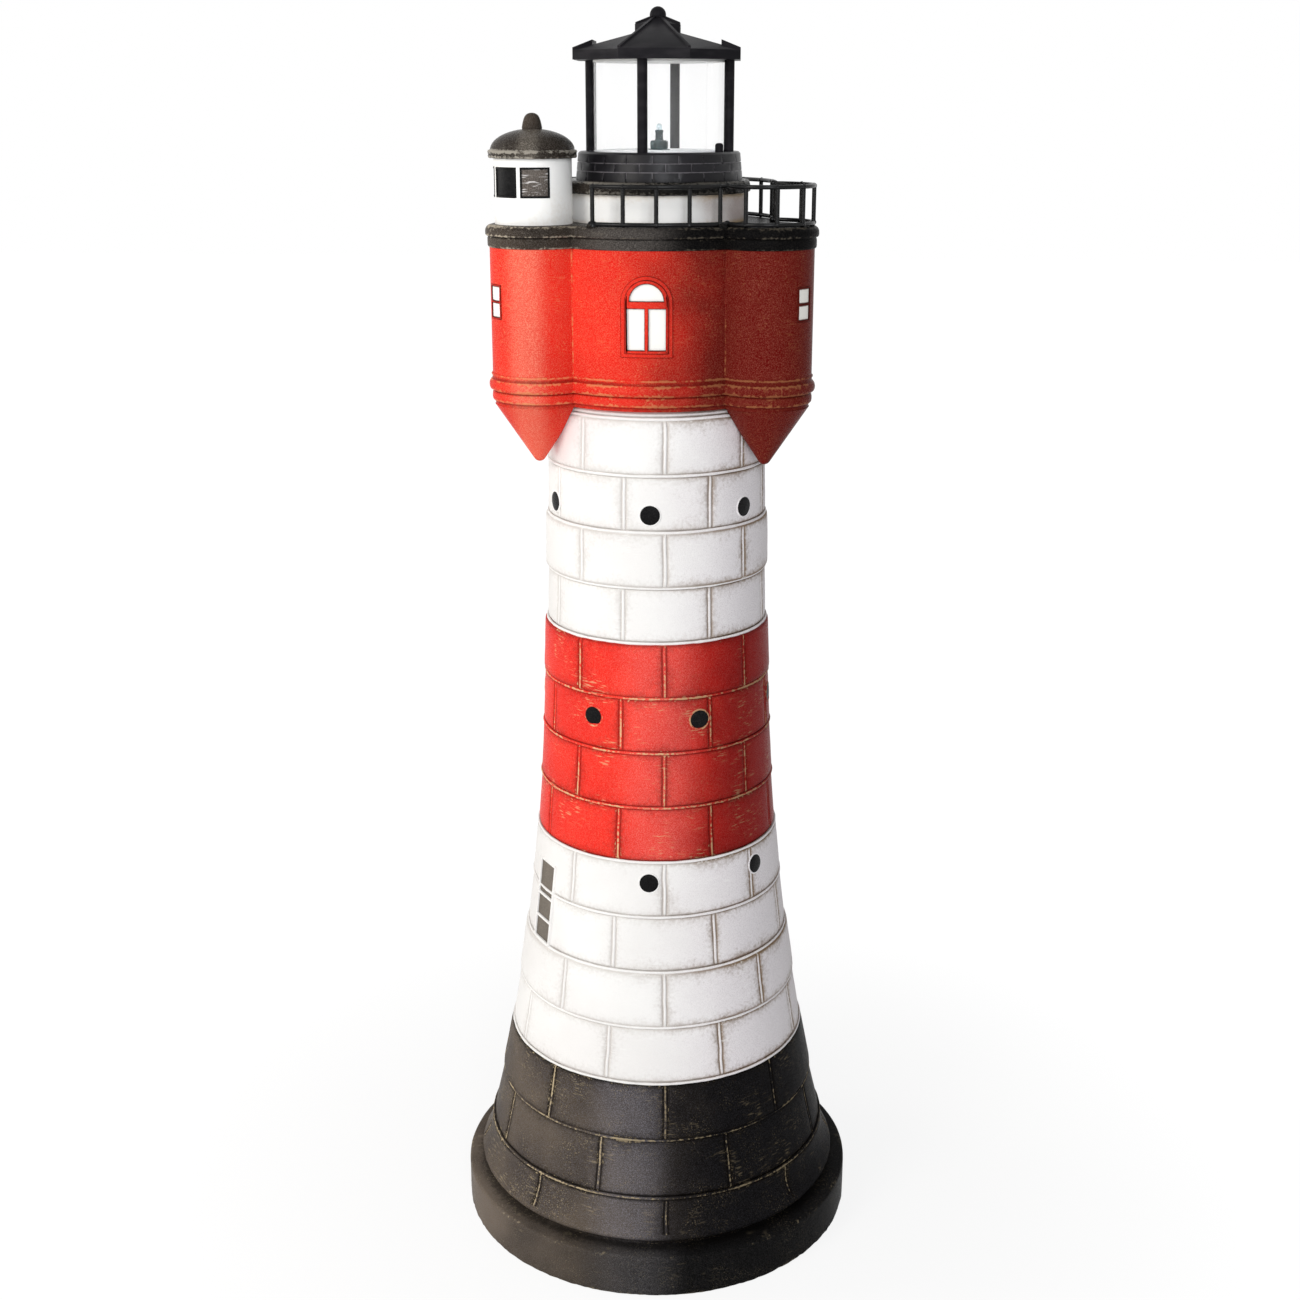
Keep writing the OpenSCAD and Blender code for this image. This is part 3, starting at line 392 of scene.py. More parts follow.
def wear_and_painted_light_group() -> bpy.types.NodeTree:
    """Build the group that says where hand-painted resin is rubbed and dirty, and where light and
    shade are painted on.

    Returns:
        A group with the masks Rubbed, Dirty, Tone, Height and Grain, and two masks of painted
        light: painted shade, 0 on the lit -X side and 1 on the shaded +X side, rising between the
        two places set along X; and a painted highlight, a pale band on the front, Width to each
        side of Sheen.
    """
    kind = "NodeSocketFloat"
    tree, g, given, out = new_group(
        "wear_and_painted_light",
        [("Vector", "NodeSocketVector", 0.0), ("Wear", kind, 0.0), ("Grime", kind, 0.0),
         ("Edges", kind, 1.0), ("Streaks", kind, 0.3), ("Specks", kind, 0.3),
         ("Dirt", kind, 0.5), ("ShadeFrom", kind, -0.02), ("ShadeTo", kind, 0.09),
         ("DirtOnLitSide", kind, 1.0), ("Sheen", kind, 0.0), ("Width", kind, 0.05)],
        ["Rubbed", "Dirty", "Tone", "Height", "PaintedShade", "Grain", "PaintedSheen"],
    )
    inputs = given.outputs
    place = inputs["Vector"]
    ragged = g.noise(place, 330.0, 5.0)
    broad = g.noise(place, 26.0, 3.0)
    brush = g.noise(g.stretch(place, (1.0, 1.0, 6.0)), 110.0, 6.0)
    patches = g.band(g.noise(place, 27.0, 2.0), 0.53, 0.66)
    streaks = g.math("MULTIPLY", g.band(brush, 0.54, 0.68), patches)
    streaks = g.math("MULTIPLY", streaks, inputs["Streaks"])
    fine = g.band(g.noise(place, 760.0, 3.0), 0.58, 0.68)
    where = g.band(g.noise(place, 34.0, 3.0), 0.42, 0.66)
    specks = g.math("MULTIPLY", g.math("MULTIPLY", fine, where), inputs["Specks"])
    uneven = g.math("ADD", g.math("MULTIPLY", g.math("SUBTRACT", ragged, 0.5), 1.7),
                    g.math("MULTIPLY", g.math("SUBTRACT", broad, 0.5), 1.5))
    edge = g.band(g.math("ADD", inputs["Wear"], uneven), 0.72, 1.05)
    edge = g.math("MULTIPLY", edge, g.math("MULTIPLY", inputs["Edges"],
                                           g.band(inputs["Wear"], 0.02, 0.3)))
    rubbed = g.math("MAXIMUM", g.math("MAXIMUM", streaks, specks), edge)
    grain = g.band(g.noise(place, 1300.0, 3.0), 0.42, 0.66)
    parts = g.add("ShaderNodeSeparateXYZ", {0: place}).outputs
    # Painted highlight: a pale band on the front, Width to each side of Sheen along X, broken up
    # by the grain.
    off = g.math("ABSOLUTE", g.math("SUBTRACT", parts[0], inputs["Sheen"]))
    painted_sheen = g.band(g.math("SUBTRACT", 1.0, g.math("DIVIDE", off, inputs["Width"])), 0.0, 0.8)
    painted_sheen = g.math("MULTIPLY", painted_sheen, g.band(g.math("MULTIPLY", parts[1], -1.0), 0.02, 0.07))
    painted_sheen = g.math("MULTIPLY", painted_sheen, g.spread(grain, 0.35, 1.0))
    # Painted shade: 0 on the lit -X side, rising to 1 on the shaded +X side, with a ragged edge.
    across = g.math("ADD", parts[0], g.math("MULTIPLY", g.math("SUBTRACT", broad, 0.5), 0.05))
    painted_shade = g.band(across, inputs["ShadeFrom"], inputs["ShadeTo"])
    soil = g.math("ADD", inputs["Grime"], g.math("MULTIPLY", uneven, 0.45))
    soil = g.math("MULTIPLY", g.band(soil, 0.16, 0.95), inputs["Dirt"])
    # Less dirt on the lit side, which paints light: there only the share set for the lit side
    # stays.
    soil = g.math("MULTIPLY", soil, g.spread(painted_shade, inputs["DirtOnLitSide"], 1.0))
    relief = g.math("ADD", g.math("MULTIPLY", brush, 0.5), g.math("MULTIPLY", ragged, 0.5))
    for label, value in (("Rubbed", g.math("MINIMUM", rubbed, 1.0)), ("Dirty", soil),
                         ("Tone", g.noise(place, 9.0, 3.0)), ("Height", relief), ("PaintedShade", painted_shade),
                         ("Grain", grain), ("PaintedSheen", painted_sheen)):
        tree.links.new(value, out.inputs[label])
    return tree


def brick_group() -> bpy.types.NodeTree:
    """Build the group that finds the mortar lines of the lantern's brick ring.

    Returns:
        A group that puts out Mortar, 1 in a line and 0 on a brick.
    """
    rows_from, row_h, line_w = 1051.8, 22.4 / 3, 0.9
    bricks, ring_r = 20, 74.7
    tree, g, given, out = new_group(
        "mortar", [("Vector", "NodeSocketVector", 0.0)], ["Mortar"])
    parts = g.add("ShaderNodeSeparateXYZ", {0: given.outputs["Vector"]}).outputs
    level = g.math("DIVIDE", g.math("SUBTRACT", parts[2], (rows_from + line_w / 2) * MM),
                   row_h * MM)
    row = g.math("FLOOR", level)
    up = g.math("MULTIPLY", g.math("PINGPONG", level, 0.5), row_h)
    minus_y = g.math("MULTIPLY", parts[1], -1.0)
    across = g.math("SUBTRACT", parts[0], LANTERN_ASIDE * MM)
    turn = g.math("MULTIPLY", g.math("ARCTAN2", across, minus_y), bricks / (2 * math.pi))
    half = g.math("MULTIPLY", g.math("FLOORED_MODULO", row, 2.0), 0.5)
    side = g.math("MULTIPLY", g.math("PINGPONG", g.math("SUBTRACT", turn, half), 0.5),
                  2 * math.pi * ring_r / bricks)
    near = g.math("ADD", g.math("MINIMUM", up, side),
                  g.math("MULTIPLY", g.noise(given.outputs["Vector"], 400.0), 0.5))
    inside = g.math("SUBTRACT", 1.0, g.band(near, 0.45, 0.85))
    above = g.math("GREATER_THAN", level, 0.3)
    below = g.math("LESS_THAN", level, 2.9)
    mortar = g.math("MULTIPLY", inside, g.math("MULTIPLY", above, below))
    tree.links.new(mortar, out.inputs["Mortar"])
    return tree


class Groups:
    """The shared shader node groups, each built once."""

    def __init__(self) -> None:
        """Build every group."""
        self.wear_and_painted_light = wear_and_painted_light_group()
        self.mortar = brick_group()


class Finish:
    """A surface finish that becomes one material."""

    name: str

    def start(self) -> tuple[bpy.types.Material, Graph, bpy.types.Node, Socket]:
        """Make an empty material.

        Returns:
            The material, its graph, its Principled node, and the object's coordinates.
        """
        material = bpy.data.materials.new(self.name)
        material.use_nodes = True
        graph = Graph(material.node_tree)
        shader = material.node_tree.nodes["Principled BSDF"]
        place = graph.add("ShaderNodeTexCoord", {}).outputs["Object"]
        return material, graph, shader, place

    def material(self, groups: Groups) -> bpy.types.Material:
        """Build the material from the finish."""
        raise NotImplementedError


@dataclass(frozen=True)
class AgedPaint(Finish):
    """Hand-painted cast resin, rubbed back to its undercoat and dirty, with painted shade on its
    +X side and a painted highlight band on its front.
    """

    name: str
    # The paint's colour on the lit -X side, lighter there as painted light; deep is a random
    # darker tone of it.
    paint: Colour
    deep: Colour
    undercoat: Colour
    soil: Colour
    # Colour of the painted shade on the +X side.
    painted_shade: Colour
    # Colour of the fine grain and of the painted highlight band. Its share differs between the lit
    # and the shaded side, so the grain is partly painted light.
    grain_and_painted_light: Colour
    roughness: float = 0.4
    edges: float = 1.0
    streaks: float = 0.3
    specks: float = 0.3
    dirt: float = 0.5
    relief: float = 0.5
    gloss: float = 0.25
    # Share of grain on the lit side, then on the shaded side.
    grain: float = 0.2
    grain_in_shade: float = 0.1
    # Along X in metres: where the painted shade starts, and where it is full.
    shade_from: float = -0.02
    shade_to: float = 0.09
    # Share of the dirt that stays on the lit side; the dirt left out there paints light.
    dirt_on_lit_side: float = 1.0
    # Strength, middle along X and half width of the painted highlight band on the front.
    painted_sheen: float = 0.0
    sheen: float = 0.0
    sheen_width: float = 0.05
    # How far the bare undercoat turns to the soil colour on the shaded side, as painted shade.
    shaded: float = 0.0

    def material(self, groups: Groups) -> bpy.types.Material:
        """Build the material.

        Args:
            groups: The shared node groups.

        Returns:
            The painted material.
        """
        material, g, shader, place = self.start()
        wear = g.add("ShaderNodeAttribute", {}, attribute_name="wear").outputs["Fac"]
        grime = g.add("ShaderNodeAttribute", {}, attribute_name="grime").outputs["Fac"]
        masks = g.add("ShaderNodeGroup", {}, node_tree=groups.wear_and_painted_light)
        for label, value in (("Vector", place), ("Wear", wear), ("Grime", grime)):
            g.tree.links.new(value, masks.inputs[label])
        for label, amount in (("Edges", self.edges), ("Streaks", self.streaks),
                              ("Specks", self.specks), ("Dirt", self.dirt),
                              ("ShadeFrom", self.shade_from), ("ShadeTo", self.shade_to),
                              ("DirtOnLitSide", self.dirt_on_lit_side), ("Sheen", self.sheen),
                              ("Width", self.sheen_width)):
            masks.inputs[label].default_value = amount
        made = masks.outputs
        base = g.mix(g.band(made["Tone"], 0.36, 0.64), self.paint, self.deep)
        # Painted shade: towards +X the colour turns to the shade colour.
        base = g.mix(made["PaintedShade"], base, self.painted_shade)
        # Grain, with a different share on the lit and the shaded side as painted light.
        amount = g.spread(made["PaintedShade"], self.grain, self.grain_in_shade)
        base = g.mix(g.math("MULTIPLY", made["Grain"], amount), base, self.grain_and_painted_light)
        # Painted highlight band on the front.
        base = g.mix(g.math("MULTIPLY", made["PaintedSheen"], self.painted_sheen), base, self.grain_and_painted_light)
        base = g.mix(made["Dirty"], base, self.soil)
        # Bare undercoat turns towards the soil colour on the shaded side, as painted shade.
        bare = g.mix(g.math("MULTIPLY", made["PaintedShade"], self.shaded), self.undercoat, self.soil)
        base = g.mix(made["Rubbed"], base, bare)
        g.tree.links.new(base, shader.inputs["Base Color"])
        rough = g.spread(made["Grain"], self.roughness - 0.05, self.roughness + 0.10)
        rough = g.math("ADD", rough, g.math("MULTIPLY", made["Rubbed"], 0.2))
        g.tree.links.new(rough, shader.inputs["Roughness"])
        shader.inputs["Specular IOR Level"].default_value = self.gloss
        height = g.math("ADD", made["Height"], g.math("MULTIPLY", made["Grain"], 0.25))
        height = g.math("ADD", height, g.math("MULTIPLY", made["Rubbed"], -0.25))
        bump = g.add("ShaderNodeBump", {"Strength": self.relief, "Distance": 0.0006,
                                        "Height": height})
        g.tree.links.new(bump.outputs[0], shader.inputs["Normal"])
        return material


@dataclass(frozen=True)
class Moulded(Finish):
    """Moulded plastic, enamel or metal with a fine grain and faint marks."""

    name: str
    colour: Colour
    mark: Colour
    roughness: float = 0.45
    metallic: float = 0.0
    grain: float = 500.0
    relief: float = 0.25
    marks: float = 0.3
    transmission: float = 0.0
    ior: float = 1.45
    gloss: float = 0.5
    bricks: Optional[Colour] = None

    def material(self, groups: Groups) -> bpy.types.Material:
        """Build the material.

        Args:
            groups: The shared node groups.

        Returns:
            The moulded material.
        """
        material, g, shader, place = self.start()
        fine = g.noise(place, self.grain, 4.0)
        broad = g.noise(g.stretch(place, (1.0, 1.0, 3.0)), 45.0, 5.0)
        blot = g.math("MULTIPLY", g.band(broad, 0.42, 0.70), self.marks)
        wear = g.add("ShaderNodeAttribute", {}, attribute_name="wear").outputs["Fac"]
        rubbed = g.math("MULTIPLY", wear, g.band(broad, 0.30, 0.60))
        base = g.mix(g.math("MAXIMUM", blot, rubbed), self.colour, self.mark)
        if self.bricks:
            lines = g.add("ShaderNodeGroup", {}, node_tree=groups.mortar)
            g.tree.links.new(place, lines.inputs[0])
            base = g.mix(lines.outputs[0], base, self.bricks)
        g.tree.links.new(base, shader.inputs["Base Color"])
        rough = g.spread(fine, self.roughness - 0.07, self.roughness + 0.09)
        g.tree.links.new(rough, shader.inputs["Roughness"])
        shader.inputs["Metallic"].default_value = self.metallic
        shader.inputs["Transmission Weight"].default_value = self.transmission
        shader.inputs["IOR"].default_value = self.ior
        shader.inputs["Specular IOR Level"].default_value = self.gloss
        bump = g.add("ShaderNodeBump", {"Strength": self.relief, "Distance": 0.0002,
                                        "Height": fine})
        g.tree.links.new(bump.outputs[0], shader.inputs["Normal"])
        return material


@dataclass(frozen=True)
class SolarGlass(Finish):
    """Dark solar cells under glass, with pale collector lines."""

    name: str
    cell: Colour
    line: Colour
    pitch: float = 7.0

    def material(self, groups: Groups) -> bpy.types.Material:
        """Build the material.

        Args:
            groups: The shared node groups, which this finish doesn't need.

        Returns:
            The solar cell material.
        """
        material, g, shader, place = self.start()
        parts = g.add("ShaderNodeSeparateXYZ", {0: place}).outputs
        across = g.math("PINGPONG", parts[1], self.pitch * MM / 2)
        lines = g.math("SUBTRACT", 1.0, g.band(across, 0.0001, 0.0004))
        tint = g.noise(place, 180.0, 4.0)
        base = g.mix(g.math("MULTIPLY", tint, 0.6), self.cell, srgb(46, 40, 70))
        g.tree.links.new(g.mix(g.math("MULTIPLY", lines, 0.7), base, self.line),
                         shader.inputs["Base Color"])
        g.tree.links.new(g.spread(tint, 0.10, 0.22), shader.inputs["Roughness"])
        shader.inputs["Coat Weight"].default_value = 0.6
        return material


class Slot(Enum):
    """The record's material slots."""

    WHITE = "white_paint"
    RED = "red_paint"
    BLACK = "black_paint"
    WINDOW_BLACK = "window_black"
    WINDOW_GREY = "window_grey"
    WINDOW_WHITE = "window_white"
    WIRE = "wire_black"
    LANTERN = "lantern_black"
    SILVER = "silver_plastic"
    CEILING = "white_plastic"
    SHEET = "clear_sheet"
    LENS = "lens_clear"
    SOLAR = "solar_cell"
    STEEL = "steel"
    LED = "led_body"
    BOARD = "board_green"
    CELL = "cell_wrap"
    LEAD = "lead_red"


CREAM = srgb(226, 196, 148)
BONE = srgb(222, 214, 200)

# In each aged paint the first colour is its lit -X side and the fifth its painted shade on the +X
# side, lit and shaded copies of one paint; the sixth colours the grain and the painted highlight
# band on the front.
FINISHES: dict[str, Finish] = {
    finish.name: finish
    for finish in (
        AgedPaint("white_blocks", srgb(246, 245, 243), srgb(240, 238, 236), srgb(250, 249, 247),
                  srgb(118, 92, 60), srgb(241, 236, 238), srgb(174, 165, 168), roughness=0.5,
                  edges=0.5, streaks=0.4, specks=0.1, dirt=0.95, relief=0.5, gloss=0.08,
                  grain=0.03, grain_in_shade=0.36, shade_from=-0.01, shade_to=0.1, dirt_on_lit_side=0.3),
        AgedPaint("red_blocks", srgb(246, 54, 38), srgb(230, 40, 29), CREAM, srgb(84, 16, 11),
                  srgb(136, 15, 13), srgb(250, 140, 130), roughness=0.3, edges=0.8,
                  streaks=0.5, specks=0.15, dirt=0.55, relief=0.7, gloss=0.02, grain=0.24,
                  grain_in_shade=0.12, painted_sheen=0.36, sheen=0.01, sheen_width=0.05, shaded=0.5),
        AgedPaint("black_blocks", srgb(94, 83, 70), srgb(66, 58, 50), srgb(206, 186, 150),
                  srgb(16, 13, 11), srgb(10, 9, 9), srgb(150, 147, 156), roughness=0.35,
                  edges=0.8, streaks=0.3, specks=0.4, dirt=0.8, relief=1.0, gloss=0.01,
                  grain=0.26, grain_in_shade=0.06, shade_from=-0.09, shade_to=0.075, painted_sheen=0.4,
                  sheen=-0.015, sheen_width=0.05, shaded=0.6),
        AgedPaint("plinth_black", srgb(112, 100, 88), srgb(68, 60, 53), srgb(196, 180, 150),
                  srgb(12, 10, 9), srgb(8, 8, 8), srgb(150, 146, 148), roughness=0.35,
                  edges=0.5, streaks=0.2, specks=0.3, dirt=0.7, relief=1.0, gloss=0.01,
                  grain=0.2, grain_in_shade=0.06, shade_from=-0.19, shade_to=0.02, painted_sheen=0.24,
                  sheen=-0.01, sheen_width=0.06, shaded=0.6),
        AgedPaint("chamber_red", srgb(236, 42, 28), srgb(220, 31, 21), srgb(232, 166, 110),
                  srgb(84, 14, 9), srgb(94, 7, 6), srgb(252, 160, 132), roughness=0.28,
                  edges=0.5, streaks=0.15, specks=0.3, dirt=0.6, relief=0.7, gloss=0.02,
                  grain=0.24, grain_in_shade=0.12, shade_from=-0.04, shade_to=0.07, painted_sheen=0.6,
                  sheen=-0.108, sheen_width=0.024, shaded=0.55),
        AgedPaint("frame_red", srgb(228, 44, 30), srgb(208, 34, 24), srgb(236, 140, 110),
                  srgb(58, 12, 8), srgb(100, 10, 8), srgb(250, 140, 118), roughness=0.4,
                  edges=0.3, streaks=0.2, specks=0.4, dirt=0.9, relief=0.4, gloss=0.02,
                  grain=0.2, shade_from=-0.02, shade_to=0.08, shaded=0.5),
        AgedPaint("cornice_black", srgb(74, 64, 55), srgb(46, 40, 35), srgb(222, 208, 186),
                  srgb(9, 8, 7), srgb(5, 5, 6), srgb(160, 152, 146), roughness=0.3,
                  edges=0.6, streaks=0.1, specks=0.14, dirt=0.8, relief=0.9, gloss=0.015,
                  grain=0.22, grain_in_shade=0.03, shade_from=-0.16, shade_to=0.02, painted_sheen=0.3,
                  sheen=-0.02, sheen_width=0.06, shaded=0.85),
        AgedPaint("coping_black", srgb(56, 47, 40), srgb(32, 27, 24), BONE, srgb(7, 6, 6),
                  srgb(6, 6, 6), srgb(196, 186, 172), roughness=0.24, edges=0.45,
                  streaks=0.0, specks=0.14, dirt=0.6, relief=1.0, gloss=0.05, grain=0.12,
                  grain_in_shade=0.03, shade_from=-0.14, shade_to=0.03, painted_sheen=0.3, sheen=-0.104,
                  sheen_width=0.014, shaded=0.8),
        AgedPaint("turret_white", srgb(255, 254, 252), srgb(252, 251, 248), srgb(254, 253, 251),
                  srgb(186, 154, 100), srgb(204, 188, 182), srgb(150, 130, 116),
                  roughness=0.5, edges=0.3, streaks=0.2, specks=0.05, dirt=0.75, relief=0.4,
                  gloss=0.2, grain=0.0, grain_in_shade=0.35, shade_from=0.03, shade_to=0.085,
                  dirt_on_lit_side=0.35),
        AgedPaint("window_pane_white", srgb(249, 248, 244), srgb(245, 243, 238),
                  srgb(252, 251, 248), srgb(96, 46, 30), srgb(246, 243, 236),
                  srgb(226, 216, 198), roughness=0.5, edges=0.0, streaks=0.2, specks=0.0,
                  dirt=0.9, relief=0.3, grain=0.05, grain_in_shade=0.15),
        AgedPaint("window_pane_grey", srgb(96, 88, 80), srgb(62, 55, 50), srgb(226, 222, 220),
                  srgb(30, 26, 23), srgb(80, 70, 62), srgb(170, 160, 152), roughness=0.5,
                  edges=0.1, streaks=1.0, specks=0.6, dirt=0.7, relief=0.8, grain=0.3),
        AgedPaint("window_pane_dark", srgb(118, 108, 96), srgb(88, 80, 70), srgb(190, 180, 166),
                  srgb(34, 29, 26), srgb(80, 72, 62), srgb(160, 150, 138), roughness=0.5,
                  edges=0.1, streaks=0.6, specks=0.3, dirt=0.7, relief=0.6, grain=0.35),
        AgedPaint("window_ink", srgb(17, 17, 18), srgb(10, 10, 11), srgb(110, 104, 98),
                  srgb(8, 8, 8), srgb(12, 12, 13), srgb(90, 88, 90), roughness=0.34,
                  edges=0.2, streaks=0.05, specks=0.08, dirt=0.4, relief=0.5, gloss=0.05,
                  grain=0.1),
        Moulded("wire_enamel", srgb(12, 12, 13), srgb(30, 29, 29), roughness=0.24, grain=700.0,
                relief=0.3, marks=0.3, gloss=0.2),
        Moulded("lantern_plastic", srgb(27, 26, 29), srgb(60, 57, 60), roughness=0.4,
                grain=900.0, relief=0.3, marks=0.25, gloss=0.04),
        Moulded("brick_plastic", srgb(20, 19, 22), srgb(38, 37, 42), roughness=0.34,
                grain=700.0, relief=0.4, marks=0.3, gloss=0.22, bricks=srgb(112, 108, 112)),
        Moulded("floor_plastic", srgb(232, 234, 236), srgb(206, 208, 210), roughness=0.35),
        Moulded("ceiling_plastic", srgb(232, 232, 230), srgb(212, 212, 210), roughness=0.45),
        Moulded("clear_acetate", srgb(255, 255, 255), srgb(252, 252, 252), roughness=0.03,
                relief=0.01, marks=0.0, transmission=0.975, ior=1.06),
        Moulded("lens_resin", srgb(226, 240, 246), srgb(200, 222, 232), roughness=0.12,
                relief=0.02, marks=0.2, transmission=0.85, ior=1.4),
        SolarGlass("solar_glass", srgb(26, 24, 40), srgb(150, 152, 160)),
        Moulded("bright_steel", srgb(178, 178, 180), srgb(140, 138, 136), roughness=0.36,
                metallic=1.0),
        Moulded("led_plastic", srgb(22, 40, 42), srgb(46, 66, 68), roughness=0.38, marks=0.5),
        Moulded("board_lacquer", srgb(26, 92, 50), srgb(18, 70, 40), roughness=0.4),
        Moulded("cell_sleeve", srgb(52, 124, 88), srgb(40, 100, 72), roughness=0.35),
        Moulded("lead_rubber", srgb(156, 24, 20), srgb(126, 20, 18), roughness=0.5),
    )
}


class Paintbox:
    """Hands out the materials and puts them on pieces."""

    def __init__(self) -> None:
        """Build the shared groups and start with no material made."""
        self.groups = Groups()
        self.made: dict[str, bpy.types.Material] = {}

    def material(self, finish: str) -> bpy.types.Material:
        """Give the material of a finish, made on its first use."""
        if finish not in self.made:
            self.made[finish] = FINISHES[finish].material(self.groups)
        return self.made[finish]

    def paint(self, piece: bpy.types.Object, *finishes: str) -> None:
        """Put one or more finishes on a piece's slots, in order."""
        piece.data.materials.clear()
        for finish in finishes:
            piece.data.materials.append(self.material(finish))


@dataclass
class Workshop:
    """Finishes each piece: paint, body and the nodes that it stands for."""

    paintbox: Paintbox

    def place(self, piece: bpy.types.Object, finish: str, slot: Slot, body: str = "tower",
              replaces: Sequence[str] = ()) -> bpy.types.Object:
        """Paint a new piece and let it ride on its body.

        Args:
            piece: The new piece.
            finish: Name of its finish.
            slot: The record's slot that its colour comes from; not used.
            body: The CAD body that it moves with.
            replaces: CAD nodes that it stands for.

        Returns:
            The same piece.
        """
        if not piece.data.materials:
            self.paintbox.paint(piece, finish)
        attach(piece, body)
        if replaces:
            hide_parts(*replaces)
        LOG.info("%s: %d faces, %s", piece.name, len(piece.data.polygons), finish)
        return piece

    def dress(self, finish: str, *nodes: str) -> None:
        """Put a finish on CAD nodes that are shown as they are."""
        for node in nodes:
            self.paintbox.paint(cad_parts[node], finish)
            LOG.info("%s: shown as built, %s", node, finish)


# ---------------------------------------------------------------- shaft

# Distance from a joint's middle, depth, wear and grime. A bead stands in each joint.
JOINT = (
    (0.0, 0.10, 0.90, 0.00),
    (0.7, 0.02, 0.75, 0.05),
    (1.15, -0.35, 0.30, 0.35),
    (1.6, -1.20, 0.10, 1.00),
    (2.1, -1.15, 0.10, 1.00),
    (2.7, -0.35, 0.55, 0.85),
    (3.3, 0.02, 0.45, 0.60),
    (5.0, 0.16, 0.20, 0.42),
    (9.0, 0.26, 0.08, 0.26),
    (17.0, 0.30, 0.00, 0.10),
)
BED = (
    (0.5, -1.60, 0.20, 1.00),
    (1.4, -1.35, 0.20, 1.00),
    (2.0, -0.60, 0.55, 0.95),
    (2.7, -0.02, 0.50, 0.66),
    (4.6, 0.16, 0.20, 0.44),
    (9.0, 0.26, 0.08, 0.26),
    (17.0, 0.30, 0.00, 0.10),
)
PLAIN = (0.32, 0.0, 0.05)
# How far each course stands out, from the collar down to the foot
STEPS = (-0.9, 0.9, 0.0, 2.16, -0.9, 1.8, 0.27, 0.0, -0.9, 0.27, -0.18, 1.8, 0.0, 1.17, -0.9, 0.9)


class Band(Enum):
    """The painted bands of the shaft: first and last course, bed joints and finish."""

    UPPER = ("white_courses_upper", -1, 3, range(0, 5), "white_blocks", Slot.WHITE,
             "shaft_white_upper")
    RED = ("red_courses", 4, 7, range(5, 8), "red_blocks", Slot.RED, "shaft_red")
    LOWER = ("white_courses_lower", 8, 11, range(8, 13), "white_blocks", Slot.WHITE,
             "shaft_white_lower")
    BLACK = ("black_courses", 12, 13, range(13, 15), "black_blocks", Slot.BLACK, "shaft_black")


class Portholes(Enum):
    """The rings of portholes: height, angles, course, and the rims' name, finish and slot."""

    UPPER = (761.0, (-61.0, 1.3, 55.5, 118.0, 180.0, 240.0), 1, "porthole_rims_upper",
             "white_blocks", Slot.WHITE)
    MIDDLE = (565.2, (-28.0, 25.9, 84.0, 150.0, 210.0, 270.0), 5, "porthole_rims_middle",
              "red_blocks", Slot.RED)
    LOWER = (406.0, (1.2, 56.5, 118.0, 180.0, 240.0), 8, "porthole_rims_lower",
             "white_blocks", Slot.WHITE)


